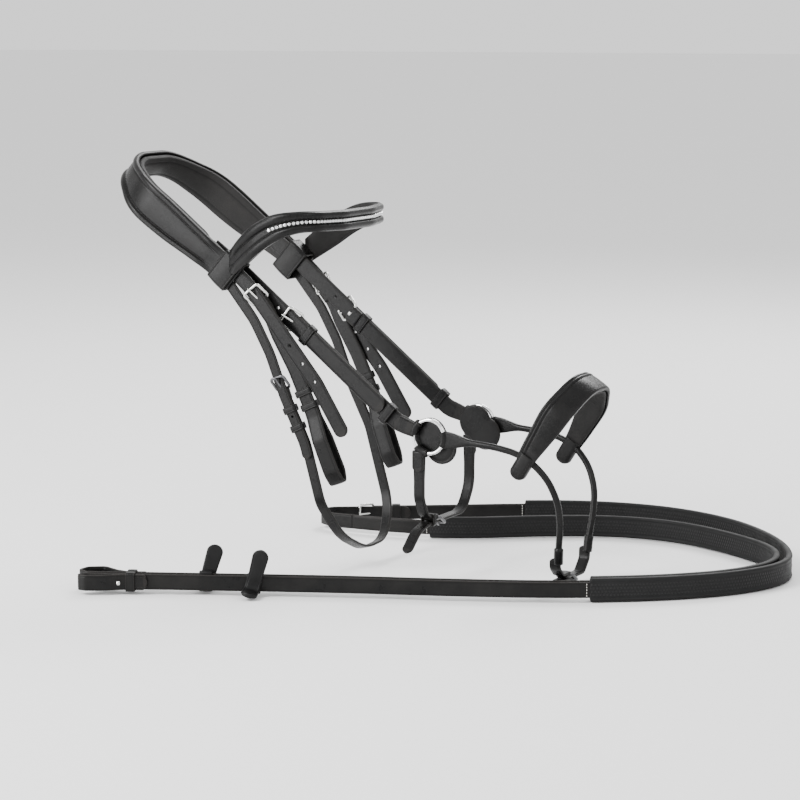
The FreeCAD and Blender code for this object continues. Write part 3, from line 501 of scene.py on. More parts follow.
def roundShape(points, radii, sides=20, tall=1.0, reference=(0, 1, 0), power=2.0):
    # a tube whose section is a superellipse; across comes from the heading and a reference direction
    heading = unitRows(np.gradient(points, axis=0))
    across = unitRows(np.cross(heading, np.broadcast_to(np.array(reference, float), heading.shape)))
    out = np.cross(across, heading)
    angles = np.linspace(0, 2 * math.pi, sides, endpoint=False)
    power = np.broadcast_to(power, len(points))[:, None]
    c, s = np.cos(angles)[None], np.sin(angles)[None]
    x, y = [np.sign(v) * np.abs(v) ** (2 / power) for v in (c, s)]
    radii, tall = [np.broadcast_to(v, len(points))[:, None] for v in (radii, tall)]
    section = np.stack([x * radii, y * radii * tall], axis=-1)
    along = np.concatenate([[0], np.cumsum(np.linalg.norm(np.diff(points, axis=0), axis=1))])
    return sweep(points, across, out, section, along=along)


def wireShape(points, radius, sides=14, squash=1.0):
    # a closed loop of wire in one plane, a little flatter than round
    heading = unitRows(np.roll(points, -1, axis=0) - np.roll(points, 1, axis=0))
    normal = unitRows(np.cross(points[0] - points.mean(0), points[len(points) // 4] - points.mean(0)))
    side = np.cross(heading, normal)
    angles = np.linspace(0, 2 * math.pi, sides, endpoint=False)
    section = np.stack([np.cos(angles) * radius, np.sin(angles) * radius * squash], axis=1)
    return sweep(points, side, normal, section, closedLong=True)


class Spot:
    # a place on a strap: x along it, y across it, z out of its face

    def __init__(self, origin, x, z):
        self.origin, self.x, self.z = np.array(origin, float), np.array(x, float), np.array(z, float)
        self.y = np.cross(self.z, self.x)

    def put(self, local):
        local = np.asarray(local, float)
        return self.origin + local[..., 0:1] * self.x + local[..., 1:2] * self.y + local[..., 2:3] * self.z


def sideSpot(corners, distance, out, backwards=False, radius=None):
    line = Line([(x, -out, z) for x, z in corners], radius)
    place, heading = line.place(np.array([distance])), line.heading(np.array([distance]))
    return Spot(place[0], heading[0] * (-1 if backwards else 1), (0, -1, 0))


def roundedBox(wide, low, high, radius, step=0.9):
    # the outline of a box with quarter-circle corners, as (y, z) points that run round it
    y, z = wide - radius, (low + radius, high - radius)
    swing = np.linspace(0, math.pi / 2, 7)
    corners = [(y, z[1], 0.0), (-y, z[1], 0.5), (-y, z[0], 1.0), (y, z[0], 1.5)]
    points = []
    for (cy, cz, turn), (ny, nz, nturn) in zip(corners, corners[1:] + corners[:1]):
        angles = swing + turn * math.pi
        points.append(np.stack([cy + radius * np.cos(angles), cz + radius * np.sin(angles)], axis=1))
        last = points[-1][-1]
        first = np.array([ny + radius * math.cos(nturn * math.pi), nz + radius * math.sin(nturn * math.pi)])
        count = max(2, int(np.linalg.norm(first - last) / step))
        points.append(last + (first - last) * np.linspace(0, 1, count, endpoint=False)[1:, None])
    return np.concatenate(points)


def loopShape(spot, wide, low, high, length, wall, creases=1.4, swell=0.0):
    # a band of leather round a strap: a bar section carried round a rounded box
    outline = roundedBox(wide + wall / 2, low - wall / 2, high + wall / 2, wall * 0.95)
    centres = spot.put(np.column_stack([np.zeros(len(outline)), outline]))
    heading = unitRows(np.roll(centres, -1, axis=0) - np.roll(centres, 1, axis=0))
    out = np.cross(heading, spot.x)
    middle = spot.put(np.array([[0, 0, (low + high) / 2]]))
    out = out * np.sign(np.sum((centres - middle) * out, axis=1).mean())
    sides = () if not creases else (-(length / 2 - creases), length / 2 - creases)
    section, edge, crease = tidyRound(*barSection(length, wall, sides, 0.2, swell=swell))
    return sweep(centres, spot.x, out, section, closedLong=True, masks=(edge[None], crease[None]))


def stitchShape(places, headings, faces, long=2.3, wide=0.38, high=0.3):
    # one short thread at each place: an ellipsoid of four rings and two poles, half sunk in the leather
    x = np.cos(np.linspace(0, math.pi, 6))
    ring = np.sqrt(1 - x[1:-1] ** 2) ** 0.6
    angles = np.arange(6) * math.pi / 3
    body = np.stack([np.repeat(x[1:-1] * long / 2, 6), np.outer(ring, np.cos(angles)).ravel() * wide,
                     np.outer(ring, np.sin(angles)).ravel() * high], axis=1)
    base = np.concatenate([[[long / 2, 0, 0]], body, [[-long / 2, 0, 0]]])
    j = np.arange(6)
    head = [[0, 1 + a, 1 + (a + 1) % 6] for a in j]
    tail = [[25, 19 + (a + 1) % 6, 19 + a] for a in j]
    walls = [[1 + r * 6 + a, 7 + r * 6 + a, 7 + r * 6 + (a + 1) % 6, 1 + r * 6 + (a + 1) % 6]
             for r in range(3) for a in j]
    headings, faces = [np.broadcast_to(v, places.shape) for v in (headings, faces)]
    across = np.cross(faces, headings)
    points = (places[:, None] + headings[:, None] * base[None, :, 0:1] + across[:, None] * base[None, :, 1:2]
              + faces[:, None] * base[None, :, 2:3]).reshape(-1, 3)
    pattern = head + tail + walls
    faceRows = [[v + 26 * k for v in row] for k in range(len(places)) for row in pattern]
    return Shape(points, faceRows, np.zeros((len(points), 2)))


def stitchLine(line, out, side=0.0, above=0.0, start=0.0, end=None, pitch=3.6, across=None, **size):
    # stitches at equal steps along a line, moved sideways and up onto the strap's face
    end = line.length if end is None else end
    s = np.arange(start, end, pitch) + pitch / 2
    places, headings = line.place(s), line.heading(s)
    if across is None:
        across = unitRows(np.cross(out, headings))
    normal = unitRows(np.cross(headings, across))
    if out is not None:
        normal = normal * np.sign(np.sum(normal * out, axis=1, keepdims=True))
    return stitchShape(places + across * side + normal * above, headings, normal, **size)


def make(name, shapes, finish, body, stands=()):
    # joins shapes into one mesh in metres, faces outwards, hangs it on its body and hides the frame's parts that it
    # stands for
    shapes = shapes if isinstance(shapes, list) else [shapes]
    faces, base = [], 0
    for shape in shapes:
        faces += [[v + base for v in row] for row in shape.faces]
        base += len(shape.points)
    points = np.concatenate([s.points for s in shapes]) * mm
    mesh = bpy.data.meshes.new(name)
    mesh.from_pydata(points.tolist(), [], faces)
    work = bmesh.new()
    work.from_mesh(mesh)
    bmesh.ops.recalc_face_normals(work, faces=work.faces)
    work.to_mesh(mesh)
    work.free()
    corners = np.empty(len(mesh.loops), dtype=np.int32)
    mesh.loops.foreach_get("vertex_index", corners)
    layer = mesh.uv_layers.new(name="UVMap")
    layer.data.foreach_set("uv", np.concatenate([s.uv for s in shapes])[corners].astype(np.float32).ravel())
    for label in ("edge", "crease", "face"):
        values = np.concatenate([getattr(s, label) for s in shapes]).astype(np.float32)
        mesh.attributes.new(label, "FLOAT", "POINT").data.foreach_set("value", values)
    mesh.polygons.foreach_set("use_smooth", np.ones(len(mesh.polygons), dtype=bool))
    mesh.materials.append(finishes[finish])
    piece = bpy.data.objects.new(name, mesh)
    bpy.context.scene.collection.objects.link(piece)
    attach(piece, body)
    if stands:
        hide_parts(*stands)
    return piece


def makePair(name, shapes, finish, body, stands=()):
    shapes = shapes if isinstance(shapes, list) else [shapes]
    pieces = []
    for side, flip in (("Near", False), ("Far", True)):
        these = [s.farSide() for s in shapes] if flip else shapes
        tag = "_" + side.lower()
        nodes = [node + tag for node in stands]
        pieces.append(make(name + side, these, finish, body.replace("*", side.lower()), nodes))
    return pieces


# reins first: two flat leather straps that stand on edge on the floor, with rubber over the middle

reins = {
    "floor": -408.0, "height": -396.0, "spacing": 4.3, "gripFrom": 457.0, "gripTo": 1187.0,
    "gripWide": 24.0, "gripThick": 7.0,
    "front": [(108, -231), (290, -156), (402, -119), (505, -78), (590, -25), (650, 38)],
    "near": [(679, 106), (654, 177), (605, 247), (538, 308), (452, 342), (362, 334), (282, 294), (213, 248),
             (150, 212)],
    "far": [(666, 108), (641, 172), (578, 222), (503, 260), (425, 261), (352, 224), (291, 178), (225, 151),
            (156, 152)],
    "length": {"near": 1.361, "far": 1.281},
}


def beside(points, distance):
    # each corner moves along the bisector of its two runs, by the distance over the cosine of half the turn
    points = np.array(points, float)
    runs = unitRows(np.diff(points, axis=0))
    before, after = np.vstack([runs[:1], runs]), np.vstack([runs, runs[-1:]])
    sideways = np.stack([-(before + after)[:, 1], (before + after)[:, 0]], axis=1)
    return points + sideways * distance / (1 + np.sum(before * after, axis=1, keepdims=True))


def reinCorners(side):
    offset = -reins["spacing"] if side == "near" else reins["spacing"]
    front = beside(reins["front"] + reins[side][:1], offset)[:-1]
    flat = np.vstack([front, np.array(reins[side], float)])
    return np.column_stack([flat, np.full(len(flat), reins["height"])])


def smoothRoute(name, corners):
    # one smooth curve held by the corners; its points are read back from the curve itself
    curve = bpy.data.curves.new(name, "CURVE")
    curve.dimensions, curve.resolution_u = "3D", 24
    spline = curve.splines.new("NURBS")
    spline.points.add(len(corners) - 1)
    spline.points.foreach_set("co", np.column_stack([corners * mm, np.ones(len(corners))]).ravel())
    spline.order_u = 3
    spline.use_endpoint_u = True
    holder = bpy.data.objects.new(name, curve)
    mesh = bpy.data.meshes.new_from_object(holder)
    points = np.empty(len(mesh.vertices) * 3)
    mesh.vertices.foreach_get("co", points)
    bpy.data.objects.remove(holder)
    bpy.data.curves.remove(curve)
    bpy.data.meshes.remove(mesh)
    points = points.reshape(-1, 3) / mm
    keep = np.concatenate([[True], np.linalg.norm(np.diff(points, axis=0), axis=1) > 1e-4])
    return points[keep]


def lineOf(points):
    line = Line([points[0], points[-1]])
    line.points = points
    line.marks = np.concatenate([[0], np.cumsum(np.linalg.norm(np.diff(points, axis=0), axis=1))])
    line.length = line.marks[-1]
    return line


def gripShape(line, start, end):
    # a rubber sleeve: flat sides with a raised bead along both edges and a rolled lip at each end
    s = stations(start, end, 2.0)[0]
    s = np.concatenate([[start, start + 0.4, start + 1.2], s[1:-1], [end - 1.2, end - 0.4, end]])
    lip = 1 - 0.22 * np.clip(1 - np.minimum(s - start, end - s) / 1.2, 0, 1) ** 2
    half, thick = reins["gripWide"] / 2, reins["gripThick"]
    t = np.linspace(-1, 1, 27)
    x = t * (half - 1.2)
    bead = 0.55 * bump(np.abs(x), half - 2.2, 1.5) + 0.3 * bump(x, 0, 1.2)
    bead = bead - 0.25 * bump(np.abs(x), half - 4.2, 1.0)
    y = thick / 2 - 0.6 + bead
    swing = np.linspace(0, math.pi, 9)[1:-1]
    left = np.column_stack([-(half - 1.2) - 1.2 * np.sin(swing), (thick / 2 - 0.6) * np.cos(swing)])
    top, low = np.column_stack([x[::-1], y[::-1]]), np.column_stack([x, -y])
    section = np.concatenate([top, left, low, left[::-1] * (-1, 1)])
    studded = np.abs(x) < half - 5
    face = np.concatenate([studded, np.zeros(7), studded, np.zeros(7)]).astype(float)
    section = section[None] * lip[:, None, None]
    across = np.array([0.0, 0.0, 1.0])
    out = unitRows(np.cross(across, line.heading(s)))
    zeros = np.zeros((1, len(face)))
    shape = sweep(line.place(s), across, out, section, along=s, masks=(zeros, zeros, face[None]))
    around = np.concatenate([x[::-1], np.full(7, -half), x, np.full(7, half)])
    shape.uv[:, 1] = np.tile(around * mm, len(s))
    return shape


reinLines = {}
for side in ("near", "far"):
    reinLines[side] = lineOf(smoothRoute("route_" + side, reinCorners(side)))


def reinSpot(side, distance):
    line = reinLines[side]
    p, d = line.place(np.array([float(distance)]))[0], line.heading(np.array([float(distance)]))[0]
    turn = 1 if side == "near" else -1
    return Spot(p, d * turn, np.array([d[1], -d[0], 0]) * turn)


def makeReins():
    up = np.array([0.0, 0.0, 1.0])
    made = {}
    for side in ("near", "far"):
        line = reinLines[side]
        strap = strapShape(line, straps["rein"], straps["reinThick"], across=up, creases=1.8, step=2.5)
        title = side.capitalize()
        rein = make("reinStrap" + title, strap, "rein", "reins", ["rein_" + side])
        grip = make("reinGrip" + title, gripShape(line, reins["gripFrom"], reins["gripTo"]), "grip", "reins",
                    ["rein_grip_" + side])
        threads = []
        for end in (reins["gripFrom"] - 3.2, reins["gripTo"] + 3.2):
            s = np.full(5, end)
            heights = np.linspace(-5.6, 5.6, 5)[:, None] * up
            for face in (1, -1):
                normal = unitRows(np.cross(up, line.heading(s))) * face
                places = line.place(s) + heights + normal * (straps["reinThick"] / 2 - 0.02)
                threads.append(stitchShape(places, up, normal, long=2.0))
        pale = make("gripStitches" + title, threads, "paleThread", "reins")
        made[side] = (rein, grip, pale)
    return made


reinPieces = makeReins()
print("reins made")


def reinLoops():
    # the billet turns back on itself, in the plane of the rein's length and its outward side
    backs = {"near": [(0, 0), (-42, 0), (-52, 5.5), (-42, 11), (-22, 9), (-5, 3.2), (19, 3.2)],
             "far": [(0, 0), (-44, 0), (-53, 9), (-47, 23), (-30, 26), (-15, 10), (-4, 3.2), (19, 3.2)]}
    shapes, threads = [], []
    for side, back in backs.items():
        spot = reinSpot(side, 0)
        turn = 1 if side == "near" else -1
        line = Line(spot.put([(x * turn, 0, z) for x, z in back]), 6.0)
        shapes.append(strapShape(line, straps["rein"], straps["thick"], across=spot.y, tips=(0, 5.0), creases=1.8))
        for k in (-1, 1):
            row = np.arange(7, 18, 3.3)
            places = spot.put([(x * turn, k * 5.2, 4.6) for x in row])
            threads.append(stitchShape(places, spot.x, spot.z, long=2.2))
    billets = make("reinBillets", shapes, "rein", "reins", ["rein_billets"])
    sewn = make("billetStitches", threads, "thread", "reins")
    return [billets, sewn]


def centreSpot():
    before, end = reinCorners("near")[-2:]
    d = unitRows(end - before)
    out = np.array([-d[1], d[0], 0])
    return Spot(end + out * -0.3, d, out)


class BucklePlace:
    # a half buckle: bar at the spot, frame leaning out over the point; sine of the lean is rise / length

    def __init__(self, spot, strap, pointTop, length=17.0):
        self.spot, self.strap, self.length = spot, strap, length
        tilt = math.asin((pointTop + 1.65) / length)
        x = spot.x * math.cos(tilt) + spot.z * math.sin(tilt)
        z = spot.z * math.cos(tilt) - spot.x * math.sin(tilt)
        self.leaning = Spot(spot.origin, x, z)

    def frame(self):
        # round wire along a box with quarter-circle corners, pressed a little flat
        outline = roundedBox((self.strap + 4) / 2, 0, self.length, 3.0, 0.8)
        points = self.leaning.put(np.column_stack([outline[:, 1], outline[:, 0], np.zeros(len(outline))]))
        return wireShape(points, 1.5, 14, 0.93)

    def tongue(self):
        # an eye round the bar, running out into a prong that thins towards its rounded tip
        eye = np.linspace(0, 2 * math.pi, 25)[:-1]
        ring = self.leaning.put(np.column_stack([2.25 * np.cos(eye), np.zeros(24), 2.25 * np.sin(eye)]))
        heading = unitRows(np.roll(ring, -1, axis=0) - np.roll(ring, 1, axis=0))
        out = np.cross(heading, self.leaning.y)
        section = np.array([[1.9, -0.66], [1.9, 0.45], [1.5, 0.7], [-1.5, 0.7], [-1.9, 0.45], [-1.9, -0.66]])
        band = sweep(ring, self.leaning.y, out, section, closedLong=True)
        tip = self.length + np.array([1.9, 2.4, 2.65])
        x = np.concatenate([np.linspace(0.4, self.length + 1.2, 24), tip])
        radius = 1.1 * np.concatenate([np.interp(x[:24], [0, 6, 20], [1.15, 1.0, 0.82]), [0.7, 0.45, 0.12]])
        z = 2.65 + 0.15 * x / self.length
        points = self.leaning.put(np.column_stack([x, 0 * x, z]))
        prong = roundShape(points, radius, 12, reference=self.leaning.z)
        return [band, prong]


def makeReinCentre():
    spot = centreSpot()
    end, before = reinCorners("far")[-1], reinCorners("far")[-2]
    heading = unitRows(end - before)
    a, b = (end - spot.origin) @ spot.x, (end - spot.origin) @ spot.z
    da, db = heading @ spot.x, heading @ spot.z
    lie = 4.6
    back = [(a, b), (a + 28 * da, b + 28 * db), (61, 17), (45, lie), (-42, lie)]
    line = Line(spot.put([(x, 0, z) for x, z in back]), 13.0)
    point = strapShape(line, straps["rein"], straps["thick"], across=spot.y, tips=(0, 8.0), creases=1.8)
    buckle = BucklePlace(spot, straps["rein"], lie + straps["thick"] / 2)
    pieces = [make("reinPoint", point, "rein", "reins", ["rein_point"]),
              make("reinBuckle", buckle.frame(), "bright", "reins", ["rein_buckle"])]
    make("reinTongue", buckle.tongue(), "bright", "rein_tongue_body", ["rein_tongue"])
    line = Line([spot.put([[-14, 0, 0]])[0], spot.put([[2.4, 0, 0]])[0]])
    chape = strapShape(line, straps["rein"], 5.2, across=spot.y, tips=(0, 2.6), creases=1.8)
    pieces.append(make("reinChape", chape, "rein", "reins"))
    return pieces


def reinKeepers():
    # bands of leather round the doubled strap, two at the billets and one at the buckle
    wide = straps["rein"] / 2
    shapes = [loopShape(reinSpot(side, 2), wide, -1.75, 4.65, 9.0, 1.8) for side in ("near", "far")]
    centre = centreSpot()
    centre.origin = centre.put([[-26, 0, 0]])[0]
    shapes.append(loopShape(centre, wide, -1.75, 6.0, 9.0, 1.8))
    return make("reinKeepers", shapes, "rein", "reins", ["rein_keepers"])


def reinStop(side, distance):
    # a soft tab that stands beside the rein and curls away below it, with a bridge round the rein
    spot = reinSpot(side, distance)
    w, t = straps["rein"] / 2 + 0.3, straps["reinThick"] / 2 + 0.25
    lean = math.radians(-16 if side == "near" else 16)
    x = spot.x * math.cos(lean) + spot.y * math.sin(lean)
    y = spot.y * math.cos(lean) - spot.x * math.sin(lean)
    back = [(w + 28, 9.5), (w + 12, 6.2), (0, t + 2), (-w + 1.5, t + 6), (-w + 0.8, t + 24)]
    line = Line([spot.origin + y * u + spot.z * v for u, v in back], 30.0)
    tab = strapShape(line, 17.0, 4.0, across=x, tips=(8.0, 8.0), creases=2.2, sink=0.3, swell=0.5,
                     taper=([0, line.length * 0.45, line.length], [1.0, 0.86, 1.0]))
    bridge = loopShape(spot, w, -t, t, 13.0, 1.9, creases=0, swell=0.3)
    return make("reinStop" + side.capitalize(), [tab, bridge], "stopRubber", "rein_stop_%s_body" % side,
                ["rein_stop_" + side])


loops = reinLoops()
centrePieces = makeReinCentre()
keepersOnRein = reinKeepers()
stops = {side: reinStop(side, distance) for side, distance in (("near", 125.0), ("far", 76.0))}
print("rein fittings made")


# crown

crown = {
    "shoulder": [(-63, -176), (-63, -38), (-36, 0), (36, 0), (63, -38), (63, -176)],
    "front": ([-176, -150, -110, -56, -30, 0, 22], [26.3, 25, 23, 20, 17, 12, 11]),
    "rear": ([-176, -150, -123, -82, -41, 0, 22], [-4, -4.4, -9, -17, -21, -18, -16]),
    "padEnd": -125.0, "rim": 6.4, "rimHeight": 2.3,
}


def crownPlace():
    # the line over the poll in the leaning plane: across the head, then up along crownUp
    return Line([(y, n, 0) for y, n in crown["shoulder"]], 45.0, 1.0)


def crownBand(inner, outerFace, start, end, inset, step=1.6):
    # stations along the band: the middle of its width, half of it, across, outwards and height up the plane
    flat = crownPlace()
    s = np.linspace(start, end, int((end - start) / step) + 1)
    p, d = flat.place(s), flat.heading(s)
    normal = np.stack([-d[:, 1], d[:, 0]], axis=1)
    middle = p[:, :2] + normal * (inner + outerFace) / 2
    height = middle[:, 1]
    f = smoothThrough(*crown["front"], height) - inset
    r = smoothThrough(*crown["rear"], height) + inset
    aside = np.array([0, 1.0, 0])
    out = normal[:, 0:1] * aside + normal[:, 1:2] * crownUp
    centres = middle[:, 0:1] * aside + middle[:, 1:2] * crownUp + crownWide * ((f + r) / 2)[:, None]
    return s, centres, (f - r) / 2, out, height


def makeCrown():
    flat = crownPlace()
    pad, thick = straps["crownOut"] - straps["padOut"], straps["crownThick"]
    s, centres, half, out, height = crownBand(pad, pad + thick, 0.0, flat.length, 0.0)
    # across the width: a round rim along each edge, a sewn groove inside it and a slightly crowned middle
    t = np.linspace(-1, 1, 61)
    x = half[:, None] * t[None]
    away = half[:, None] - np.abs(x)
    fade = ease(height, -150, -128)[:, None]
    rim = crown["rimHeight"] * roll(away, crown["rim"] / 2, crown["rim"] / 2) * fade
    groove = 0.9 * np.exp(-(((away - crown["rim"] - 0.7) / 0.7) ** 2)) * fade
    second = 0.25 * np.exp(-(((away - 1.9) / 0.4) ** 2)) * (1 - fade)
    centre = 0.9 * np.clip(1 - (x / (half[:, None] - crown["rim"])) ** 2, 0, 1) * fade
    top = thick / 2 + rim - groove + centre - second - 0.5 * np.exp(-((away / 0.5) ** 2))
    low = np.full_like(top, -thick / 2)
    section = np.concatenate([np.stack([x, top], -1)[:, ::-1], np.stack([x, low], -1)], axis=1)
    # painted shade in the sewn grooves, through the crease mask
    crease = np.concatenate([(groove / 0.9 + second * 3)[:, ::-1], 0 * low], axis=1)
    edge = np.concatenate([np.exp(-((away / 0.7) ** 2))[:, ::-1], np.ones_like(low) * 0.3], axis=1) * 0.6
    shape = sweep(centres, crownWide, out, section, along=s, masks=(edge, crease))
    make("crownTop", shape, "strap", "headstall", ["crown_leather"])
    # lining: a soft pad under the leather, full in the middle of its width and thin at its rounded edges
    low = np.interp(crown["padEnd"], height[: len(s) // 2], s[: len(s) // 2])
    s, centres, half, out, height = crownBand(0, pad, low, flat.length - low, 1.0)
    closing = closeEnds(s, 14, 0.1)
    x, y = boxyRound(56, 0.55, 0.62)
    y = np.where(y < 0, y * (0.78 + 0.22 * bump(x, 0, 1.0)), y)
    quilting = 0.7 * (np.exp(-(((np.abs(x) - 0.62) / 0.05) ** 2)) * (y < 0))
    tall = (y * pad / 2 + quilting)[None] * closing[:, None] + (pad / 2 * (1 - closing))[:, None]
    section = np.stack([x[None] * half[:, None], tall], axis=-1)
    # the quilted lines also get painted shade, through the crease mask
    lining = make("crownLining", sweep(centres, crownWide, out, section, along=s,
                                       masks=(np.zeros((1, 56)), (quilting / 0.7)[None])),
                  "lining", "headstall", ["crown_padding"])
    # two rows of stitches in the grooves, on the padded part
    s, centres, half, out, height = crownBand(pad, pad + thick, 12.0, flat.length - 12.0, 0.0, 3.4)
    threads = []
    for side in (-1, 1):
        keep = height > (-146 if side < 0 else -132)
        places = centres + crownWide * (side * (half - crown["rim"] - 0.7))[:, None]
        places = places + out * (thick / 2 - 0.55)
        headings = unitRows(np.gradient(places, axis=0))
        threads.append(stitchShape(places[keep], headings[keep], out[keep], long=2.4, wide=0.42, high=0.35))
    make("crownStitches", threads, "thread", "headstall")


makeCrown()
print("crown made")


# straps on the sides of the head; each list holds (x, z) corners

lines = {
    "cheekPoint": [(109, -75), (156, -114.8), (203, -173), (233, -210), (265, -262)],
    "cheekpiece": [(167.5, -129), (177, -141), (187, -163), (206, -196), (226, -240)],
    "noseband": [(107.4, -76.5), (140, -99.8), (304, -233.1)],
    "nosebandTab": [(202.5, -150.6), (319, -245.3), (340, -252.5)],
    "throat": [(100, -84), (133, -114), (161, -149), (179, -182), (196, -226), (219, -273), (231, -317)],
}
sideways = np.array([0.0, -1.0, 0.0])


def sideLine(name, out, radius=90.0, extra=()):
    corners = lines[name] + list(extra)
    return Line([(x, -out, z) for x, z in corners], radius)


def ringHole(place, out, outer=2.1, hole=1.3, high=0.22):
    # a small punched hole where the strap stays whole: a pressed rim round a disc darkened with painted shade in
    # place of an opening
    angles = np.linspace(0, 2 * math.pi, 20, endpoint=False)
    rings = np.array([[outer, -0.3], [outer - 0.3, 0.06], [hole + 0.25, 0.1], [hole, 0.05], [hole * 0.9, 0.03],
                      [0.05, 0.02]])
    across = np.array([1.0, 0, 0]) if abs(out[0]) < 0.9 else np.array([0, 1.0, 0])
    across = unitRows(across - out * (across @ out))
    spin = np.cos(angles)[:, None] * across + np.sin(angles)[:, None] * np.cross(out, across)
    grid = place + spin[:, None] * rings[None, :, 0:1] + out * (rings[None, :, 1:2] + high)
    shape = gridShape(grid, closedLong=True, closedRound=False,
                      masks=(np.zeros((1, 6)), np.array([[0, 0, 0.2, 0.9, 1, 1]])))
    shape.faces += [[k * 6 + 5 for k in range(20)][::-1], [k * 6 for k in range(20)]]
    return shape


def punchHoles(piece, places, out, radius=1.6):
    # takes a short rod away from a strap at each place, and darkens the rims of the holes with painted shade
    turn = np.linspace(0, 2 * math.pi, 24, endpoint=False)
    across = unitRows(np.array([1.0, 0, 0]) - out * out[0])
    spin = (np.cos(turn)[:, None] * across + np.sin(turn)[:, None] * np.cross(out, across)) * radius
    points = np.concatenate([p + spin + out * h for p in places for h in (-6, 6)]) * mm
    k = np.arange(24)
    rod = [[i, (i + 1) % 24, 24 + (i + 1) % 24, 24 + i] for i in k] + [list(k[::-1]), list(24 + k)]
    mesh = bpy.data.meshes.new("punch")
    faces = [[int(v) + 48 * n for v in row] for n in range(len(places)) for row in rod]
    mesh.from_pydata(points.tolist(), [], faces)
    tool = bpy.data.objects.new("punch", mesh)
    bpy.context.scene.collection.objects.link(tool)
    cut = piece.modifiers.new("holes", "BOOLEAN")
    cut.operation, cut.solver, cut.object = "DIFFERENCE", "EXACT", tool
    graph = bpy.context.evaluated_depsgraph_get()
    holed = bpy.data.meshes.new_from_object(piece.evaluated_get(graph), preserve_all_data_layers=True,
                                            depsgraph=graph)
    piece.modifiers.clear()
    piece.data = holed
    bpy.data.objects.remove(tool)
    v = np.empty(len(holed.vertices) * 3)
    holed.vertices.foreach_get("co", v)
    v = v.reshape(-1, 3) / mm
    off = np.stack([np.linalg.norm(np.cross(v - p, out), axis=1) for p in places]).min(axis=0)
    # painted shade round each hole, through the crease mask
    crease = holed.attributes["crease"]
    values = np.empty(len(v), dtype=np.float32)
    crease.data.foreach_get("value", values)
    crease.data.foreach_set("value", np.where(off < radius + 0.05, 1.0, values).astype(np.float32))


def punchPair(pieces, places):
    for piece, side in zip(pieces, (near, far)):
        punchHoles(piece, places * side, sideways * side)


def makeCheek():
    out = straps["pointOut"] + straps["thick"] / 2
    line = sideLine("cheekPoint", out)
    point = strapShape(line, straps["cheek"], straps["thick"], out=sideways, tips=(0, 7.5), creases=1.9)
    pieces = makePair("cheekPoint", point, "strap", "headstall", ["cheek_point"])
    punchPair(pieces, line.place(136.3 + 22.8 * np.arange(3)))

    m = straps["cheekOut"] + straps["thick"] / 2
    line = sideLine("cheekpiece", m)
    upper = strapShape(line, straps["cheek"], straps["thick"], out=sideways, creases=1.9)
    top, hang = np.array([226.0, 0, -240.0]), np.array([0.36, 0, -0.933])
    back = [(m, -4), (m + 0.1, 6), (m + 4, 30), (m + 2, 66), (m - 5, 82), (m - 12.5, 66), (m - 10, 30),
            (m - 3, 6), (m - 2.95, -12)]
    across = unitRows(np.cross(sideways, hang))
    fold = Line([top + sideways * o + hang * h for o, h in back], 20.0)
    loop = strapShape(fold, straps["cheek"], straps["thick"], across=across, tips=(0, 6.0), creases=1.9,
                      swell=0.3, taper=([0, 30, 80, 110, 190], [1.0, 1.06, 1.12, 1.06, 1.0]))
    spot = sideSpot(lines["cheekpiece"], 0, straps["cheekOut"] + 0.3, True)
    ends = spot.put([[-12, 0, 0], [2.6, 0, 0]])
    chape = strapShape(Line(ends), straps["cheek"], 5.0, out=sideways, tips=(0, 2.5), creases=1.9)
    places = spot.put([[-9.5, k * 2.6, 2.6] for k in (-2, -1, 0, 1, 2)])
    row = stitchShape(places, spot.y, sideways, long=1.9)
    makePair("cheekpiece", [upper, loop, chape], "strap", "headstall", ["cheekpiece"])
    makePair("cheekpieceStitches", [row], "thread", "headstall")
    buckle = BucklePlace(spot, straps["cheek"], pointTop - 0.3)
    frameShape = buckle.frame()
    make("cheekBuckles", [frameShape, frameShape.farSide()], "bright", "headstall",
         ["cheek_buckles"])
    makePair("cheekTongue", buckle.tongue(), "bright", "cheek_tongue_*_body", ["cheek_tongue"])


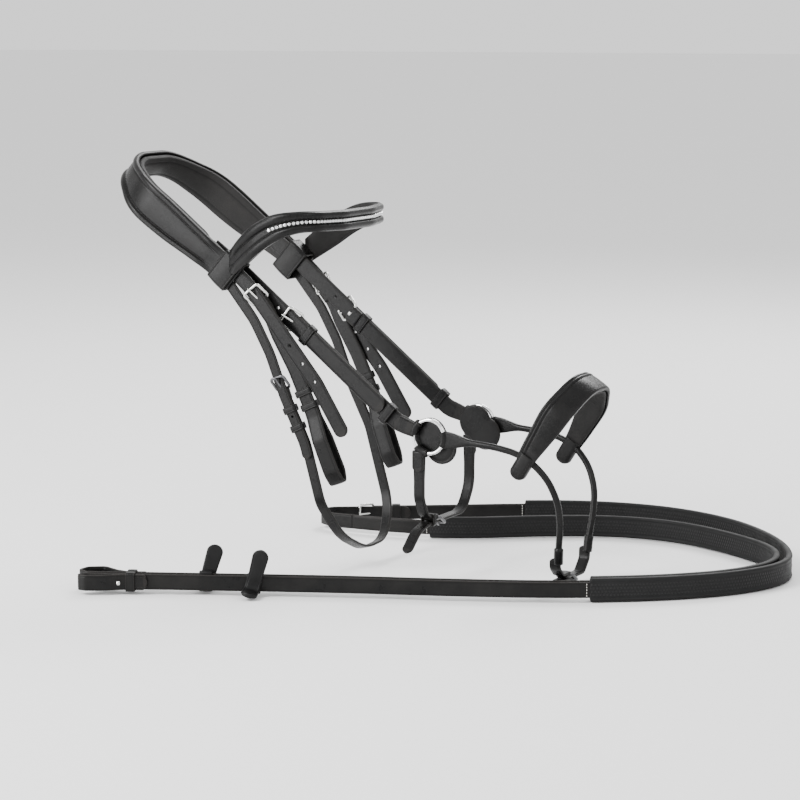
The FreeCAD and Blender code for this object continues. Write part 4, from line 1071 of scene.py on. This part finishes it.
def makeNoseband():
    out = straps["nosebandPointOut"] + straps["thick"] / 2
    line = sideLine("noseband", out)
    point = strapShape(line, straps["noseband"], straps["thick"], out=sideways, tips=(0, 8.5), creases=2.0)
    pieces = makePair("nosebandPoint", point, "strap", "headstall", ["noseband_point"])
    punchPair(pieces, line.place(np.array([97.0])))
    line = sideLine("nosebandTab", ringPlace["out"], 25.0)
    tab = strapShape(line, straps["noseband"], straps["thick"], out=sideways, creases=2.0,
                     taper=([0, line.length - 16, line.length], [1.0, 1.0, 0.84]))
    spot = sideSpot(lines["nosebandTab"], 2, straps["nosebandOut"] + 0.2, True)
    chape = strapShape(Line(spot.put([[-12, 0, 0], [2.6, 0, 0]])), straps["noseband"], 5.0, out=sideways,
                       tips=(0, 2.5), creases=2.0)
    # the tab's end is folded back over the ring: a second, shorter layer on top, sewn down
    upper = Line(line.place(np.linspace(line.length - 24, line.length, 9)) + sideways * 2.6, None)
    flap = strapShape(upper, straps["noseband"] * 0.92, 2.4, out=sideways, tips=(5.0, 0), creases=1.8,
                      taper=([0, 12, 24], [1.0, 0.98, 0.86]))
    fold = foldShape(152, 26)
    makePair("nosebandStrap", [tab, chape, flap, fold], "strap", "headstall",
             ["noseband_strap"])
    threads = [stitchLine(upper, sideways, k * 6.0, 1.25, 2.0, 22.0, 3.2) for k in (-1, 1)]
    slant = np.array([0.63, 0, 0.776])
    end = upper.place(np.full(4, 20.5)) + np.outer(np.linspace(-4.4, 4.4, 4), slant) + sideways * 1.25
    threads.append(stitchShape(end, slant, sideways))
    places = spot.put([[-9.5, k * 2.8, 2.6] for k in (-2, -1, 0, 1, 2)])
    threads.append(stitchShape(places, spot.y, sideways, long=2.0))
    makePair("nosebandStitches", threads, "thread", "headstall")
    buckle = BucklePlace(spot, straps["noseband"], noseTop - 0.2)
    frameShape = buckle.frame()
    make("nosebandBuckles", [frameShape, frameShape.farSide()], "bright", "headstall",
         ["noseband_buckles"])
    makePair("nosebandTongue", buckle.tongue(), "bright", "noseband_tongue_*_body",
             ["noseband_tongue"])


def foldShape(angle, half, outer=4.2, inner=2.32):
    # leather folded over the ring wire: a short stretch of a torus with a wall, its lips rounded
    lip = (outer - inner) / 2
    degree = math.degrees(lip / ringPlace["radius"])
    swing = np.linspace(math.pi / 2, 3 * math.pi / 2, 8)
    middle = (outer + inner) / 2
    left = np.column_stack([-half + degree + degree * np.cos(swing), middle + lip * np.sin(swing)])
    inside = np.column_stack([np.linspace(-half + degree, half - degree, 10)[1:-1], np.full(8, inner)])
    right = left[::-1] * (-1, 1)
    outside = np.column_stack([np.linspace(half - degree, -half + degree, 14)[1:-1], np.full(12, outer)])
    outline = np.concatenate([left, inside, right, outside])
    turn = np.radians(angle + outline[:, 0])
    away = np.column_stack([np.cos(turn), np.zeros(len(turn)), np.sin(turn)])
    centre = np.array([ringPlace["x"], -ringPlace["out"], ringPlace["z"]]) + away * ringPlace["radius"]
    spin = np.linspace(0, 2 * math.pi, 22, endpoint=False)
    reach = np.cos(spin)[:, None, None] * away[None] + np.sin(spin)[:, None, None] * sideways
    grid = centre[None] + reach * outline[None, :, 1:2]
    edge = (np.abs(outline[:, 0]) > half - degree * 1.2).astype(float)[None]
    return gridShape(grid, closedLong=True, closedRound=True, masks=(edge * 0.7,))


def makeThroat():
    out = straps["pointOut"] + straps["thick"] / 2
    corners = lines["throat"][:-1] + [(223, -288)]
    line = Line([(x, -out, z) for x, z in corners], 90.0)
    point = strapShape(line, straps["throat"], straps["thick"], out=sideways, tips=(0, 5.0), creases=1.5)
    piece = make("throatPoint", point, "strap", "headstall", ["throat_point"])
    punchHoles(piece, line.place(np.array([196.0])), sideways, 1.3)
    spot = sideSpot(lines["throat"], 166.0, straps["cheekOut"] + 0.3, True, 90.0)
    buckle = BucklePlace(spot, straps["throat"], pointTop - 0.3, 15.0)
    make("throatBuckle", buckle.frame(), "dark", "headstall", ["throat_buckle"])
    make("throatTongue", buckle.tongue(), "dark", "throat_tongue_body", ["throat_tongue"])
    # one long strap: down the near side, round under the throat and up the far side
    a, b = straps["cheekOut"] + straps["thick"] / 2, out
    below = [p for p in lines["throat"] if p[1] < spot.origin[2] - 5]
    nearDown = [(spot.origin[0], -a, spot.origin[2])] + [(x, -a, z) for x, z in below[:-1]]
    end = np.array([231.0, 0, -317.0])
    down = unitRows(np.array([12.0, 0, -44.0]))
    under = [(-a, 2), (-a, 18), (-45, 56), (-4, 76), (44, 74), (b, 40), (b, 2)]
    under = [end + np.array([0, y, 0]) + down * d for y, d in under]
    farUp = [(x, b, z) for x, z in lines["throat"][:-1][::-1]]
    line = Line(nearDown + under + farUp, 60.0)
    s = stations(0.0, line.length, 1.8)[0]
    heading = line.heading(s)
    p = line.place(s)
    flat = unitRows(heading * (1, 0, 1) + 1e-9)
    rising = (p[:, 1] > 0)[:, None]
    g = np.where(np.abs(heading[:, 1:2]) > 0.25, down, np.where(rising, -flat, flat))
    kernel = np.ones(9) / 9
    g = np.stack([np.convolve(np.pad(g[:, k], 4, mode="edge"), kernel, "valid") for k in range(3)], axis=1)
    across = unitRows(np.cross(sideways, g))
    across = unitRows(across - heading * np.sum(across * heading, axis=1, keepdims=True))
    normal = unitRows(np.cross(heading, across))
    middle = np.array([231.0, 0, -300.0])
    normal = normal * np.sign(np.sum(normal * (p - middle), axis=1, keepdims=True))
    w = straps["throat"]
    section, edge, crease = tidyRound(*barSection(w, straps["thick"], (-(w / 2 - 1.5), w / 2 - 1.5), 0.22))
    lash = sweep(p, across, normal, section, along=s, masks=(edge[None], crease[None]))
    ends = spot.put([[-11, 0, 0], [2.6, 0, 0]])
    chape = strapShape(Line(ends), w, 5.0, out=sideways, tips=(0, 2.5), creases=1.5)
    make("throatlash", [lash, chape], "strap", "headstall", ["throatlash"])


def makeKeepers():
    cheek, nose, throat = [loopShape(sideSpot(lines[key], down, out), wide, 0, top, turn, 2)
                           for key, down, out, wide, top, turn in (
        ("cheekpiece", 119, straps["cheekOut"] - 2.9, straps["cheek"] / 2, 5.7, 7),
        ("nosebandTab", 19, straps["nosebandOut"], straps["noseband"] / 2, noseTop, 9),
        ("throat", 188, straps["cheekOut"], straps["throat"] / 2, pointTop, 7))]
    make("fixedKeepers", [cheek, cheek.farSide(), nose, nose.farSide(), throat], "strap", "headstall",
         ["fixed_keepers"])
    # the sliding ones are looser by 0.2 all round
    cheek, nose, throat = [loopShape(sideSpot(lines[key], down, out), wide + 0.2, -0.2, top, turn, 2)
                           for key, down, out, wide, top, turn in (
        ("cheekpiece", 104, straps["cheekOut"], straps["cheek"] / 2, 3.0, 7),
        ("nosebandTab", 137, straps["nosebandOut"], straps["noseband"] / 2, noseTop + 0.2, 9),
        ("throat", 208, straps["cheekOut"], straps["throat"] / 2, pointTop + 0.2, 7))]
    makePair("cheekRunner", cheek, "strap", "cheek_runner_*_body", ["cheek_runner"])
    makePair("nosebandCollar", nose, "strap", "noseband_collar_*_body", ["noseband_collar"])
    make("throatRunner", throat, "strap", "throat_runner_body", ["throat_runner"])


makeCheek()
makeNoseband()
makeThroat()
makeKeepers()
print("side straps made")


# browband

brow = {
    "line": [(134, -77), (170, -91), (205, -92), (232, -76), (243, -30), (243, 30), (232, 76), (205, 92),
             (170, 91), (134, 77)],
    "top": ([130, 160, 190, 220, 250], [-84, -57, -40, -35, -36]),
    "bottom": ([143, 168, 195, 220, 250], [-102, -85, -67, -57, -57]),
    "leather": 3.0, "pad": 5.0, "rollHeight": 2.9,
}


def browStations(start, end, step=1.5):
    line = Line([(x, y, 0) for x, y in brow["line"]], 60.0)
    s = np.linspace(start, line.length + end, int((line.length + end - start) / step) + 1)
    p, d = line.place(s), line.heading(s)
    out = np.stack([d[:, 1], -d[:, 0], 0 * s], axis=1)
    high, low = smoothThrough(*brow["top"], p[:, 0]), smoothThrough(*brow["bottom"], p[:, 0])
    p[:, 2] = (high + low) / 2
    return s, p, out, (high - low) / 2, line.length


def inlay(s, length):
    # 1 where the two rolls are full, 0 where the band goes flat into its loops
    return ease(s, 2, 16) * (1 - ease(s, length - 16, length - 2))


def makeBrowband():
    up = np.array([0, 0, 1.0])
    s, p, out, half, length = browStations(4.0, -4.0)
    t = np.linspace(-1, 1, 57)
    on, x = inlay(s, length)[:, None], half[:, None] * t[None]
    thick = brow["leather"]
    # outer face: a round roll above and one below a flat inlay, with sewn grooves; all fade out at the ends
    rolls = brow["rollHeight"] * (roll(t, 0.6, 0.34) + roll(t, -0.6, 0.34))[None]
    groove = 0.6 * (np.exp(-(((np.abs(t) - 0.245) / 0.035) ** 2)))[None]
    top = thick / 2 + on * (rolls - groove) + (1 - on) * 0.35 * bump(t, 0, 1.2)[None]
    top = top - 0.6 * np.exp(-(((1 - np.abs(t)) / 0.04) ** 2))[None]
    low = np.full_like(top, -thick / 2)
    section = np.concatenate([np.stack([x, top], -1)[:, ::-1], np.stack([x, low], -1)], axis=1)
    # painted shade in the sewn grooves, through the crease mask
    crease = np.concatenate([on * groove[:, ::-1] / 0.6, 0 * low], axis=1)
    rubbed = np.exp(-(((1 - np.abs(t)) / 0.05) ** 2))[None]
    edge = np.concatenate([0 * top + rubbed, 0 * low + 0.2], axis=1) * 0.5
    outer = sweep(p, up, out, section, along=s, masks=(edge, crease))
    make("browbandFace", outer, "strap", "browband", ["browband_leather"])
    s2, p2, out2, half2, length = browStations(7.0, -7.0)
    xx, yy = boxyRound(44, 0.6, 0.7)
    closing = closeEnds(s2, 12, 0.08)
    seat = -thick / 2 - brow["pad"] / 2 + brow["pad"] / 2 * (1 - closing)
    section = np.stack([xx[None] * (half2 - 0.7)[:, None],
                        yy[None] * (brow["pad"] / 2) * closing[:, None] + seat[:, None]], axis=-1)
    shape = sweep(p2, up, out2, section, along=s2)
    lining = make("browbandLining", shape, "lining", "browband", ["browband_padding"])
    s3 = np.arange(14, length - 14, 3.3)
    q, o = between(s3, s, p, out)
    h = np.interp(s3, s, half)
    heading = unitRows(np.gradient(q, axis=0))
    seat = q + o * (thick / 2 - 0.42)
    threads = [stitchShape(seat + up * (k * 0.25 * h)[:, None], heading, o, long=2.2, wide=0.36)
               for k in (-1, 1)]
    make("browbandStitches", threads, "thread", "browband")
    makeStones(s, p, out, length)
    origin = crownUp * -162 + crownWide * 11.2
    spot = Spot(origin, -crownUp, sideways)
    low, high = 59.5, 76.4
    loop = loopShape(spot, 15.9, low, high, 24.0, 2.3, creases=2.0, swell=0.5)
    rows = []
    for k in (-1, 1):
        y = np.arange(-14, 14.5, 3.4)
        places = spot.put(np.column_stack([np.full(len(y), k * 9.9), y, np.full(len(y), high + 2.3)]))
        rows.append(stitchShape(places, spot.y, sideways, long=2.2, wide=0.36))
    make("browbandLoops", [loop, loop.farSide()], "strap", "browband", ["browband_loops"])
    make("loopStitches", rows + [r.farSide() for r in rows], "thread", "browband")


def makeStones(s, p, out, length):
    # a row of cut stones, each with a flat table, eight crown facets and a girdle, in its own metal cup
    at = np.arange(60, length - 60, 4.15)
    q, o = between(at, s, p, out)
    o = unitRows(o)
    heading = unitRows(np.gradient(q, axis=0))
    side = np.cross(o, heading)
    base = q + o * brow["leather"] / 2
    angles = np.arange(8) * math.pi / 4

    def rings(rows):
        shapes = []
        for radius, high, turn in rows:
            a = angles + turn
            away = np.cos(a)[:, None] * heading[:, None] + np.sin(a)[:, None] * side[:, None]
            shapes.append(base[:, None] + away * radius + o[:, None] * high)
        return np.stack(shapes, axis=1)

    half8 = math.pi / 8
    gems = rings([(1.5, 0.5, 0), (1.72, 1.1, half8), (1.3, 1.75, 0), (0.75, 2.05, half8)])
    cups = rings([(1.9, 0.1, 0), (1.98, 1.0, 0), (1.78, 1.25, 0), (1.6, 1.0, 0)])
    for name, grid, finish, slot, stands in (("stoneRow", gems, "stones", "crystals", ["crystal_row"]),
                                             ("stoneCups", cups, "bright", "bright_hardware", [])):
        count, rows = grid.shape[0], grid.shape[1]
        j = np.arange(8)
        pattern = []
        for r in range(rows - 1):
            pattern += [[r * 8 + a, r * 8 + (a + 1) % 8, r * 8 + 8 + (a + 1) % 8, r * 8 + 8 + a] for a in j]
        pattern += [list(range(8))[::-1], [8 * rows - 8 + a for a in j]]
        faces = [[v + 8 * rows * k for v in row] for k in range(count) for row in pattern]
        shape = Shape(grid.reshape(-1, 3), faces, np.zeros((grid.size // 3, 2)))
        piece = make(name, shape, finish, "browband", stands)
        piece.data.polygons.foreach_set("use_smooth", np.zeros(len(piece.data.polygons), dtype=bool))


makeBrowband()
print("browband made")


# rings and the front of the noseband

def makeRings():
    angles = np.linspace(0, 2 * math.pi, 97)[:-1]
    centre = np.array([ringPlace["x"], -ringPlace["out"], ringPlace["z"]])
    ring = centre + ringPlace["radius"] * np.column_stack([np.cos(angles), 0 * angles, np.sin(angles)])
    makePair("nosebandRing", wireShape(ring, ringPlace["wire"], 24), "chrome", "noseband_ring_*_body",
             ["noseband_ring"])
    # the safe: one piece of leather behind the ring, cut as two round lobes and sewn near its edge
    inner = ringPlace["out"] - 4.9
    one, two, r1, r2 = np.array([353.0, -257.0]), np.array([365.0, -269.0]), 17.5, 17.0
    turn = np.linspace(0, 2 * math.pi, 121)[:-1]
    ray = np.column_stack([np.cos(turn), np.sin(turn)])
    middle = (one + two) / 2

    def reach(c, r):
        b = ray @ (middle - c)
        return -b + np.sqrt(np.maximum(b**2 - ((middle - c) @ (middle - c) - r**2), 0))

    far_ = np.maximum(reach(one, r1), reach(two, r2))
    far_ = np.convolve(np.concatenate([far_[-3:], far_, far_[:3]]), np.ones(7) / 7, "valid")
    rows = [(0.02, 1.7), (0.3, 1.75), (0.7, 1.7), (0.84, 1.6), (0.87, 1.3), (0.9, 1.6), (0.965, 1.5), (0.99, 1.15),
            (1.0, 0.6), (1.0, -0.6), (0.985, -1.3), (0.9, -1.5), (0.02, -1.5)]
    grid = np.stack([np.column_stack([middle[0] + ray[:, 0] * far_ * k, np.full(120, -inner + 1.5) - y,
                                      middle[1] + ray[:, 1] * far_ * k]) for k, y in rows], axis=1)
    # painted shade along the sewn groove, through the crease mask
    crease = np.array([[0, 0, 0, 0.3, 1, 0.3, 0, 0, 0, 0, 0, 0, 0]])
    edge = np.array([[0, 0, 0, 0, 0, 0, 0, 0.6, 1, 1, 0.6, 0, 0]])
    safe = gridShape(grid, closedLong=True, closedRound=False, masks=(edge, crease))
    safe.faces.append([k * 13 for k in range(120)])
    safe.faces.append([k * 13 + 12 for k in range(120)])
    make("ringSafes", [safe, safe.farSide()], "strap", "headstall", ["ring_safes"])
    s = np.arange(0, 120, 3)
    p = grid[s, 4] + sideways * 0.05
    heading = unitRows(np.roll(grid[:, 4], -1, axis=0) - np.roll(grid[:, 4], 1, axis=0))[s]
    row = stitchShape(p, heading, sideways, long=2.2, wide=0.34)
    makePair("safeStitches", row, "thread", "headstall")


rolledLine = [(371, -58.2, -260), (397, -58.2, -261), (427, -57.5, -263.5), (449, -56.5, -268), (467, -54.5, -277.5),
              (482, -51, -294), (490.5, -46.5, -316), (491.5, -42, -339), (488, -38, -366), (487.2, -36.4, -381)]


def rolledShape():
    # a flat folded tab at the ring closes into a round roll, with a thicker sleeve at its lower end
    line = Line(rolledLine, None, 1.0)
    s = np.concatenate([np.linspace(0, 34, 30), np.linspace(35.5, line.length - 18.5, 130),
                        line.length - 18 + np.array([0.0, 0.5, 1.4, 3, 6, 9, 12, 15, 16.6, 17.5, 18.0])])
    flat = 1 - ease(s, 3, 33)
    onEnd = ease(s, line.length - 18.2, line.length - 16.6)
    closing = 1 - 0.72 * ease(s, line.length - 1.5, line.length + 0.2)
    tall = (3.35 + 5.2 * flat + 1.35 * onEnd) * closing
    wide = (3.35 - 1.0 * flat + 1.35 * onEnd) * closing
    power = (2.0 + 3.5 * flat)[:, None]
    centres, heading = line.place(s), line.heading(s)
    out = unitRows(sideways - heading * np.sum(heading * sideways, axis=1, keepdims=True))
    across = np.cross(out, heading)
    angles = np.linspace(0, 2 * math.pi, 30, endpoint=False)
    c, w = np.cos(angles)[None], np.sin(angles)[None]
    section = np.stack([np.sign(c) * np.abs(c) ** (2 / power) * tall[:, None],
                        np.sign(w) * np.abs(w) ** (2 / power) * wide[:, None]], axis=-1)
    seam = 0.35 * np.exp(-(((angles - 4.45) / 0.16) ** 2))[None] * (1 - flat)[:, None]
    section = section * (1 - seam[..., None] * 0.25)
    # the seam also gets painted shade, through the crease mask
    return line, sweep(centres, across, out, section, along=s, masks=(0 * seam, seam * 2))


def makeFrontNoseband():
    line, strap = rolledShape()
    makePair("rolledStrap", [strap, foldShape(-6, 26)], "rolled", "front_noseband",
             ["rolled_strap"])
    threads = []
    s = np.arange(3, 26, 3.1)
    tall = 8.5 - 5.2 * ease(s, 3, 33)
    wide = 2.35 + 1.0 * ease(s, 3, 33)
    p, h = line.place(s), line.heading(s)
    across = np.cross(sideways, h)
    for k in (-1, 1):
        places = p + across * (k * (tall - 1.7))[:, None] + sideways * (wide - 0.05)[:, None]
        threads.append(stitchShape(places, h, sideways, long=2.2, wide=0.36))
    makePair("tabStitches", threads, "thread", "front_noseband")
    makeNosepiece()
    makeChinStrap()


nose = {
    "origin": np.array([462.0, 0, -271.0]), "up": np.array([0.525, 0, 0.851]), "wide": np.array([0.851, 0, -0.525]),
    "line": [(-57, -6), (-57, 8), (-48, 52), (-20, 81), (20, 81), (48, 52), (57, 8), (57, -6)],
    "rear": ([-9, -3, 20, 45, 70, 95], [-9.4, -9.6, -12, -15, -15, -14]),
    "front": ([-9, -3, 20, 45, 70, 95], [9.4, 9.6, 12, 14.5, 14, 13]),
    "leather": 3.0, "pad": 5.5,
}


def noseStations(inner, outerFace, inset, trim=0.0, step=1.3):
    line = Line([(y, u, 0) for y, u in nose["line"]], 34.0, 0.8)
    s = np.linspace(trim, line.length - trim, int((line.length - 2 * trim) / step) + 1)
    p, d = line.place(s), line.heading(s)
    normal = np.stack([-d[:, 1], d[:, 0]], axis=1)
    middle = p[:, :2] + normal * (inner + outerFace) / 2
    f = smoothThrough(*nose["front"], middle[:, 1]) - inset
    r = smoothThrough(*nose["rear"], middle[:, 1]) + inset
    out = normal[:, 0:1] * np.array([0, 1.0, 0]) + normal[:, 1:2] * nose["up"]
    centres = (nose["origin"] + middle[:, 0:1] * np.array([0, 1.0, 0]) + middle[:, 1:2] * nose["up"]
               + nose["wide"] * ((f + r) / 2)[:, None])
    return s, centres, (f - r) / 2, out, line.length


def makeNosepiece():
    s, centres, half, out, length = noseStations(0, nose["leather"], 0.0)
    t = np.linspace(-1, 1, 61)
    x = half[:, None] * t[None]
    away = half[:, None] - np.abs(x)
    # outer face: full and round, with two sewn grooves along its lower edge and a rounded upper edge
    rear = x + half[:, None]
    fade = ease(s, 2, 14)[:, None] * (1 - ease(s, length - 14, length - 2))[:, None]
    grooves = np.exp(-(((rear - 3.3) / 0.55) ** 2)) + np.exp(-(((rear - 7.4) / 0.6) ** 2))
    body = 1.9 * np.sqrt(np.clip(1 - ((x - 1.5) / (half[:, None] + 1.5)) ** 2, 0, 1))
    ridge = 0.55 * bump(rear, 5.4, 2.0)
    top = 1.5 + fade * (body + ridge - 0.85 * grooves) - 0.8 * np.exp(-((away / 0.6) ** 2))
    low = np.full_like(top, -1.5)
    section = np.concatenate([np.stack([x, top], -1)[:, ::-1], np.stack([x, low], -1)], axis=1)
    # painted shade in the two sewn grooves, through the crease mask
    crease = np.concatenate([(fade * grooves)[:, ::-1], 0 * low], axis=1)
    edge = np.concatenate([np.exp(-((away / 0.8) ** 2))[:, ::-1], 0 * low + 0.2], axis=1) * 0.5
    make("nosepieceFace", sweep(centres, nose["wide"], out, section, along=s, masks=(edge, crease)), "strap",
         "front_noseband", ["nosepiece_leather"])
    threads = []
    for d in (3.3, 7.4):
        c2, h2, o2 = noseStations(0, nose["leather"], 0.0, 12.0, 3.4)[1:4]
        side = d - h2
        lift = 1.9 * np.sqrt(np.clip(1 - ((side - 1.5) / (h2 + 1.5)) ** 2, 0, 1))
        p = c2 + nose["wide"] * side[:, None] + o2 * (1.5 + lift - 0.72)[:, None]
        threads.append(stitchShape(p, unitRows(np.gradient(p, axis=0)), o2, long=2.3, wide=0.38))
    make("nosepieceStitches", threads, "thread", "front_noseband")
    s, centres, half, out, length = noseStations(-nose["pad"], 0, 1.0, 1.0)
    xx, yy = boxyRound(48, 0.6, 0.7)
    closing = closeEnds(s, 12, 0.1)
    pad = nose["pad"] / 2
    section = np.stack([xx[None] * half[:, None],
                        (yy[None] * closing[:, None] + (1 - closing)[:, None]) * pad], axis=-1)
    shape = sweep(centres, nose["wide"], out, section, along=s)
    lining = make("nosepieceLining", shape, "lining", "front_noseband", ["nosepiece_padding"])
    # the end tab: leather folded round the rolled strap and sewn, with a rounded end
    spot = Spot(nose["origin"] + np.array([0, -50.0, 0]), -nose["up"], sideways)
    x, widths = stations(-2.0, 26.0, 0.9, 0.0, 7.0)
    fat = 6.25 * np.maximum(np.sqrt(widths), 0.25) * (1 - 0.12 * ease(x, 10, 26))
    xx, yy = boxyRound(40, 0.45, 0.8)
    section = np.stack([xx[None] * 8.6 * widths[:, None], yy[None] * fat[:, None] + 6.25], axis=-1)
    centres = spot.put(np.column_stack([x, 0 * x, 0 * x]))
    groove = np.exp(-(((np.abs(xx) - 0.72) / 0.05) ** 2))[None] * (widths > 0.9)[:, None]
    section[..., 1] -= 0.4 * groove * np.sign(yy)[None]
    # painted shade in the tab's sewn grooves, through the crease mask
    tab = sweep(centres, spot.y, spot.z, section, along=x, masks=(0 * groove, groove))
    rows = []
    for k in (-1, 1):
        at = np.arange(3, 18, 3.2)
        places = spot.put(np.column_stack([at, np.full(len(at), k * 6.2), np.full(len(at), 12.0)]))
        rows.append(stitchShape(places, spot.x, sideways, long=2.2, wide=0.36))
    make("nosepieceTabs", [tab, tab.farSide()], "strap", "front_noseband", ["nosepiece_loops"])
    make("noseTabStitches", rows + [r.farSide() for r in rows], "thread", "front_noseband")


forwards = np.array([1.0, 0, 0])


def underLine(x, corners, radius):
    return Line([(x, y, z) for y, z in corners], radius)


def underBuckle(x, y, z):
    spot = Spot((x, y, z), (0, 1, 0), (0, 0, -1))
    return spot, BucklePlace(spot, straps["jaw"], 6.1, 15.0)


def makeJawStrap():
    x, w, t = 343.5, straps["jaw"], straps["thick"]
    spot, buckle = underBuckle(x, -27, -345.0)
    nearLine = underLine(x, [(-58.2, -273), (-58.2, -322), (-46, -343.6), (-26, -343.6)], 16)
    strap = strapShape(nearLine, w, t, across=forwards, creases=1.6, taper=([0, 12, 30], [1.2, 1.12, 1.0]))
    ends = spot.put([[-11, 0, 0.1], [2.6, 0, 0.1]])
    chape = strapShape(Line(ends), w, 5.4, across=forwards, tips=(0, 2.5), creases=1.6)
    flap = strapShape(underLine(x, [(-60.9, -273.5), (-60.9, -294)], None), w * 1.1, 2.2, across=forwards,
                      tips=(0, 5), creases=1.6)
    make("jawStrapNear", [strap, chape, flap, foldShape(-118, 24)], "strap", "jaw_strap",
         ["jaw_strap_near"])
    corners = [(58.2, -273), (58.2, -324), (40, -349.7), (-44, -349.7), (-66, -355), (-88, -372)]
    farLine = underLine(x, corners, 30)
    strap = strapShape(farLine, w, t, across=forwards, tips=(0, 6.0), creases=1.6,
                       taper=([0, 12, 30], [1.2, 1.12, 1.0]))
    flap = strapShape(underLine(x, [(60.9, -273.5), (60.9, -294)], None), w * 1.1, 2.2, across=forwards,
                      tips=(0, 5), creases=1.6)
    holes = []
    for d in (70.0, 54.0, 38.0, 22.0):
        s = np.array([farLine.length - d])
        place, heading = farLine.place(s)[0], farLine.heading(s)[0]
        out = unitRows(np.cross(heading, forwards))
        holes += [ringHole(place + out * t / 2, out, 2.0, 1.2), ringHole(place - out * t / 2, -out, 2.0, 1.2)]
    make("jawStrapFar", [strap, flap, foldShape(-118, 24).farSide()] + holes, "strap", "jaw_strap",
         ["jaw_strap_far"])
    make("jawBuckle", buckle.frame(), "dark", "jaw_strap", ["jaw_buckle"])
    make("jawTongue", buckle.tongue(), "dark", "jaw_tongue_body", ["jaw_tongue"])
    loop = Spot((x, -37, -345.0), (0, 1, 0), (0, 0, -1))
    make("jawKeeper", loopShape(loop, w / 2, -2.8, 6.1, 6.0, 2.0), "strap", "jaw_strap",
         ["jaw_keeper"])
    rows = []
    for y, z0, k in ((-62.05, -277, -1), (62.05, -277, 1)):
        for dx in (-4.6, 4.6):
            z = np.arange(z0, z0 - 13, -3.2)
            p = np.column_stack([np.full(len(z), x + dx), np.full(len(z), y), z])
            rows.append(stitchShape(p, (0, 0, -1), (0, k, 0), long=2.1, wide=0.34))
    make("jawStitches", rows, "thread", "jaw_strap")


def makeChinStrap():
    x, w, t = 484.0, straps["jaw"], straps["thick"]
    spot, buckle = underBuckle(x, -12, -394.0)
    nearLine = underLine(x, [(-37, -374), (-37, -384), (-27, -392.6), (-11, -392.6)], 7)
    strap = strapShape(nearLine, w, t, across=forwards, tips=(4.0, 0), creases=1.6, step=1.0)
    ends = spot.put([[-9, 0, 0.1], [2.6, 0, 0.1]])
    chape = strapShape(Line(ends), w, 5.4, across=forwards, tips=(0, 2.5), creases=1.6)
    make("chinStrapNear", [strap, chape], "strap", "front_noseband", ["chin_strap_near"])
    farLine = underLine(x, [(37, -374), (37, -386), (24, -398.7), (-34, -398.7)], 9)
    strap = strapShape(farLine, w, t, across=forwards, tips=(4.0, 6.0), creases=1.6, step=1.0)
    make("chinStrapFar", strap, "strap", "front_noseband", ["chin_strap_far"])
    make("chinBuckle", buckle.frame(), "dark", "front_noseband", ["chin_buckle"])
    make("chinTongue", buckle.tongue(), "dark", "chin_tongue_body", ["chin_tongue"])


makeRings()
makeFrontNoseband()
makeJawStrap()
print("noseband made")


# finishes for the frame's own metal parts, then floor and lights

for node in ("cheek_hook_studs", "rein_hook_studs"):
    for place in bpy.data.objects[node].material_slots:
        place.material = finishes["bright"]


def makeFloor():
    # a flat square, wide enough to pass behind everything in view
    mesh = bpy.data.meshes.new("floor")
    reach, z = 40.0, reins["floor"] * mm - 0.0008
    corners = [(-reach, -reach, z), (reach, -reach, z), (reach, reach, z), (-reach, reach, z)]
    mesh.from_pydata(corners, [], [(0, 1, 2, 3)])
    mesh.materials.append(floorPaper())
    floor = bpy.data.objects.new("floor", mesh)
    bpy.context.scene.collection.objects.link(floor)


def areaLight(name, place, aim, power, wide):
    data = bpy.data.lights.new(name, "AREA")
    data.shape, data.size, data.energy = "SQUARE", wide, power
    light = bpy.data.objects.new(name, data)
    light.location = place
    look = np.array(aim) - np.array(place)
    light.rotation_euler = (math.atan2(math.hypot(look[0], look[1]), -look[2]), 0,
                            math.atan2(look[1], look[0]) - math.pi / 2)
    bpy.context.scene.collection.objects.link(light)


makeFloor()
areaLight("keyLight", (-0.9, -1.9, 1.6), (0.25, 0, -0.2), 95.0, 1.1)
areaLight("sideLight", (-1.5, -2.3, 0.25), (0.25, 0, -0.2), 60.0, 1.2)
areaLight("fillLight", (2.4, -1.2, 1.2), (0.25, 0, -0.2), 16.0, 1.2)
areaLight("backLight", (0.2, 2.1, 1.7), (0.25, 0, -0.2), 60.0, 1.2)
world = bpy.data.worlds.new("paleRoom")
world.use_nodes = True
background = world.node_tree.nodes["Background"]
background.inputs["Color"].default_value = (1, 1, 1, 1)
background.inputs["Strength"].default_value = 1.25
bpy.context.scene.world = world

bpy.context.view_layer.update()


print("scene finished")
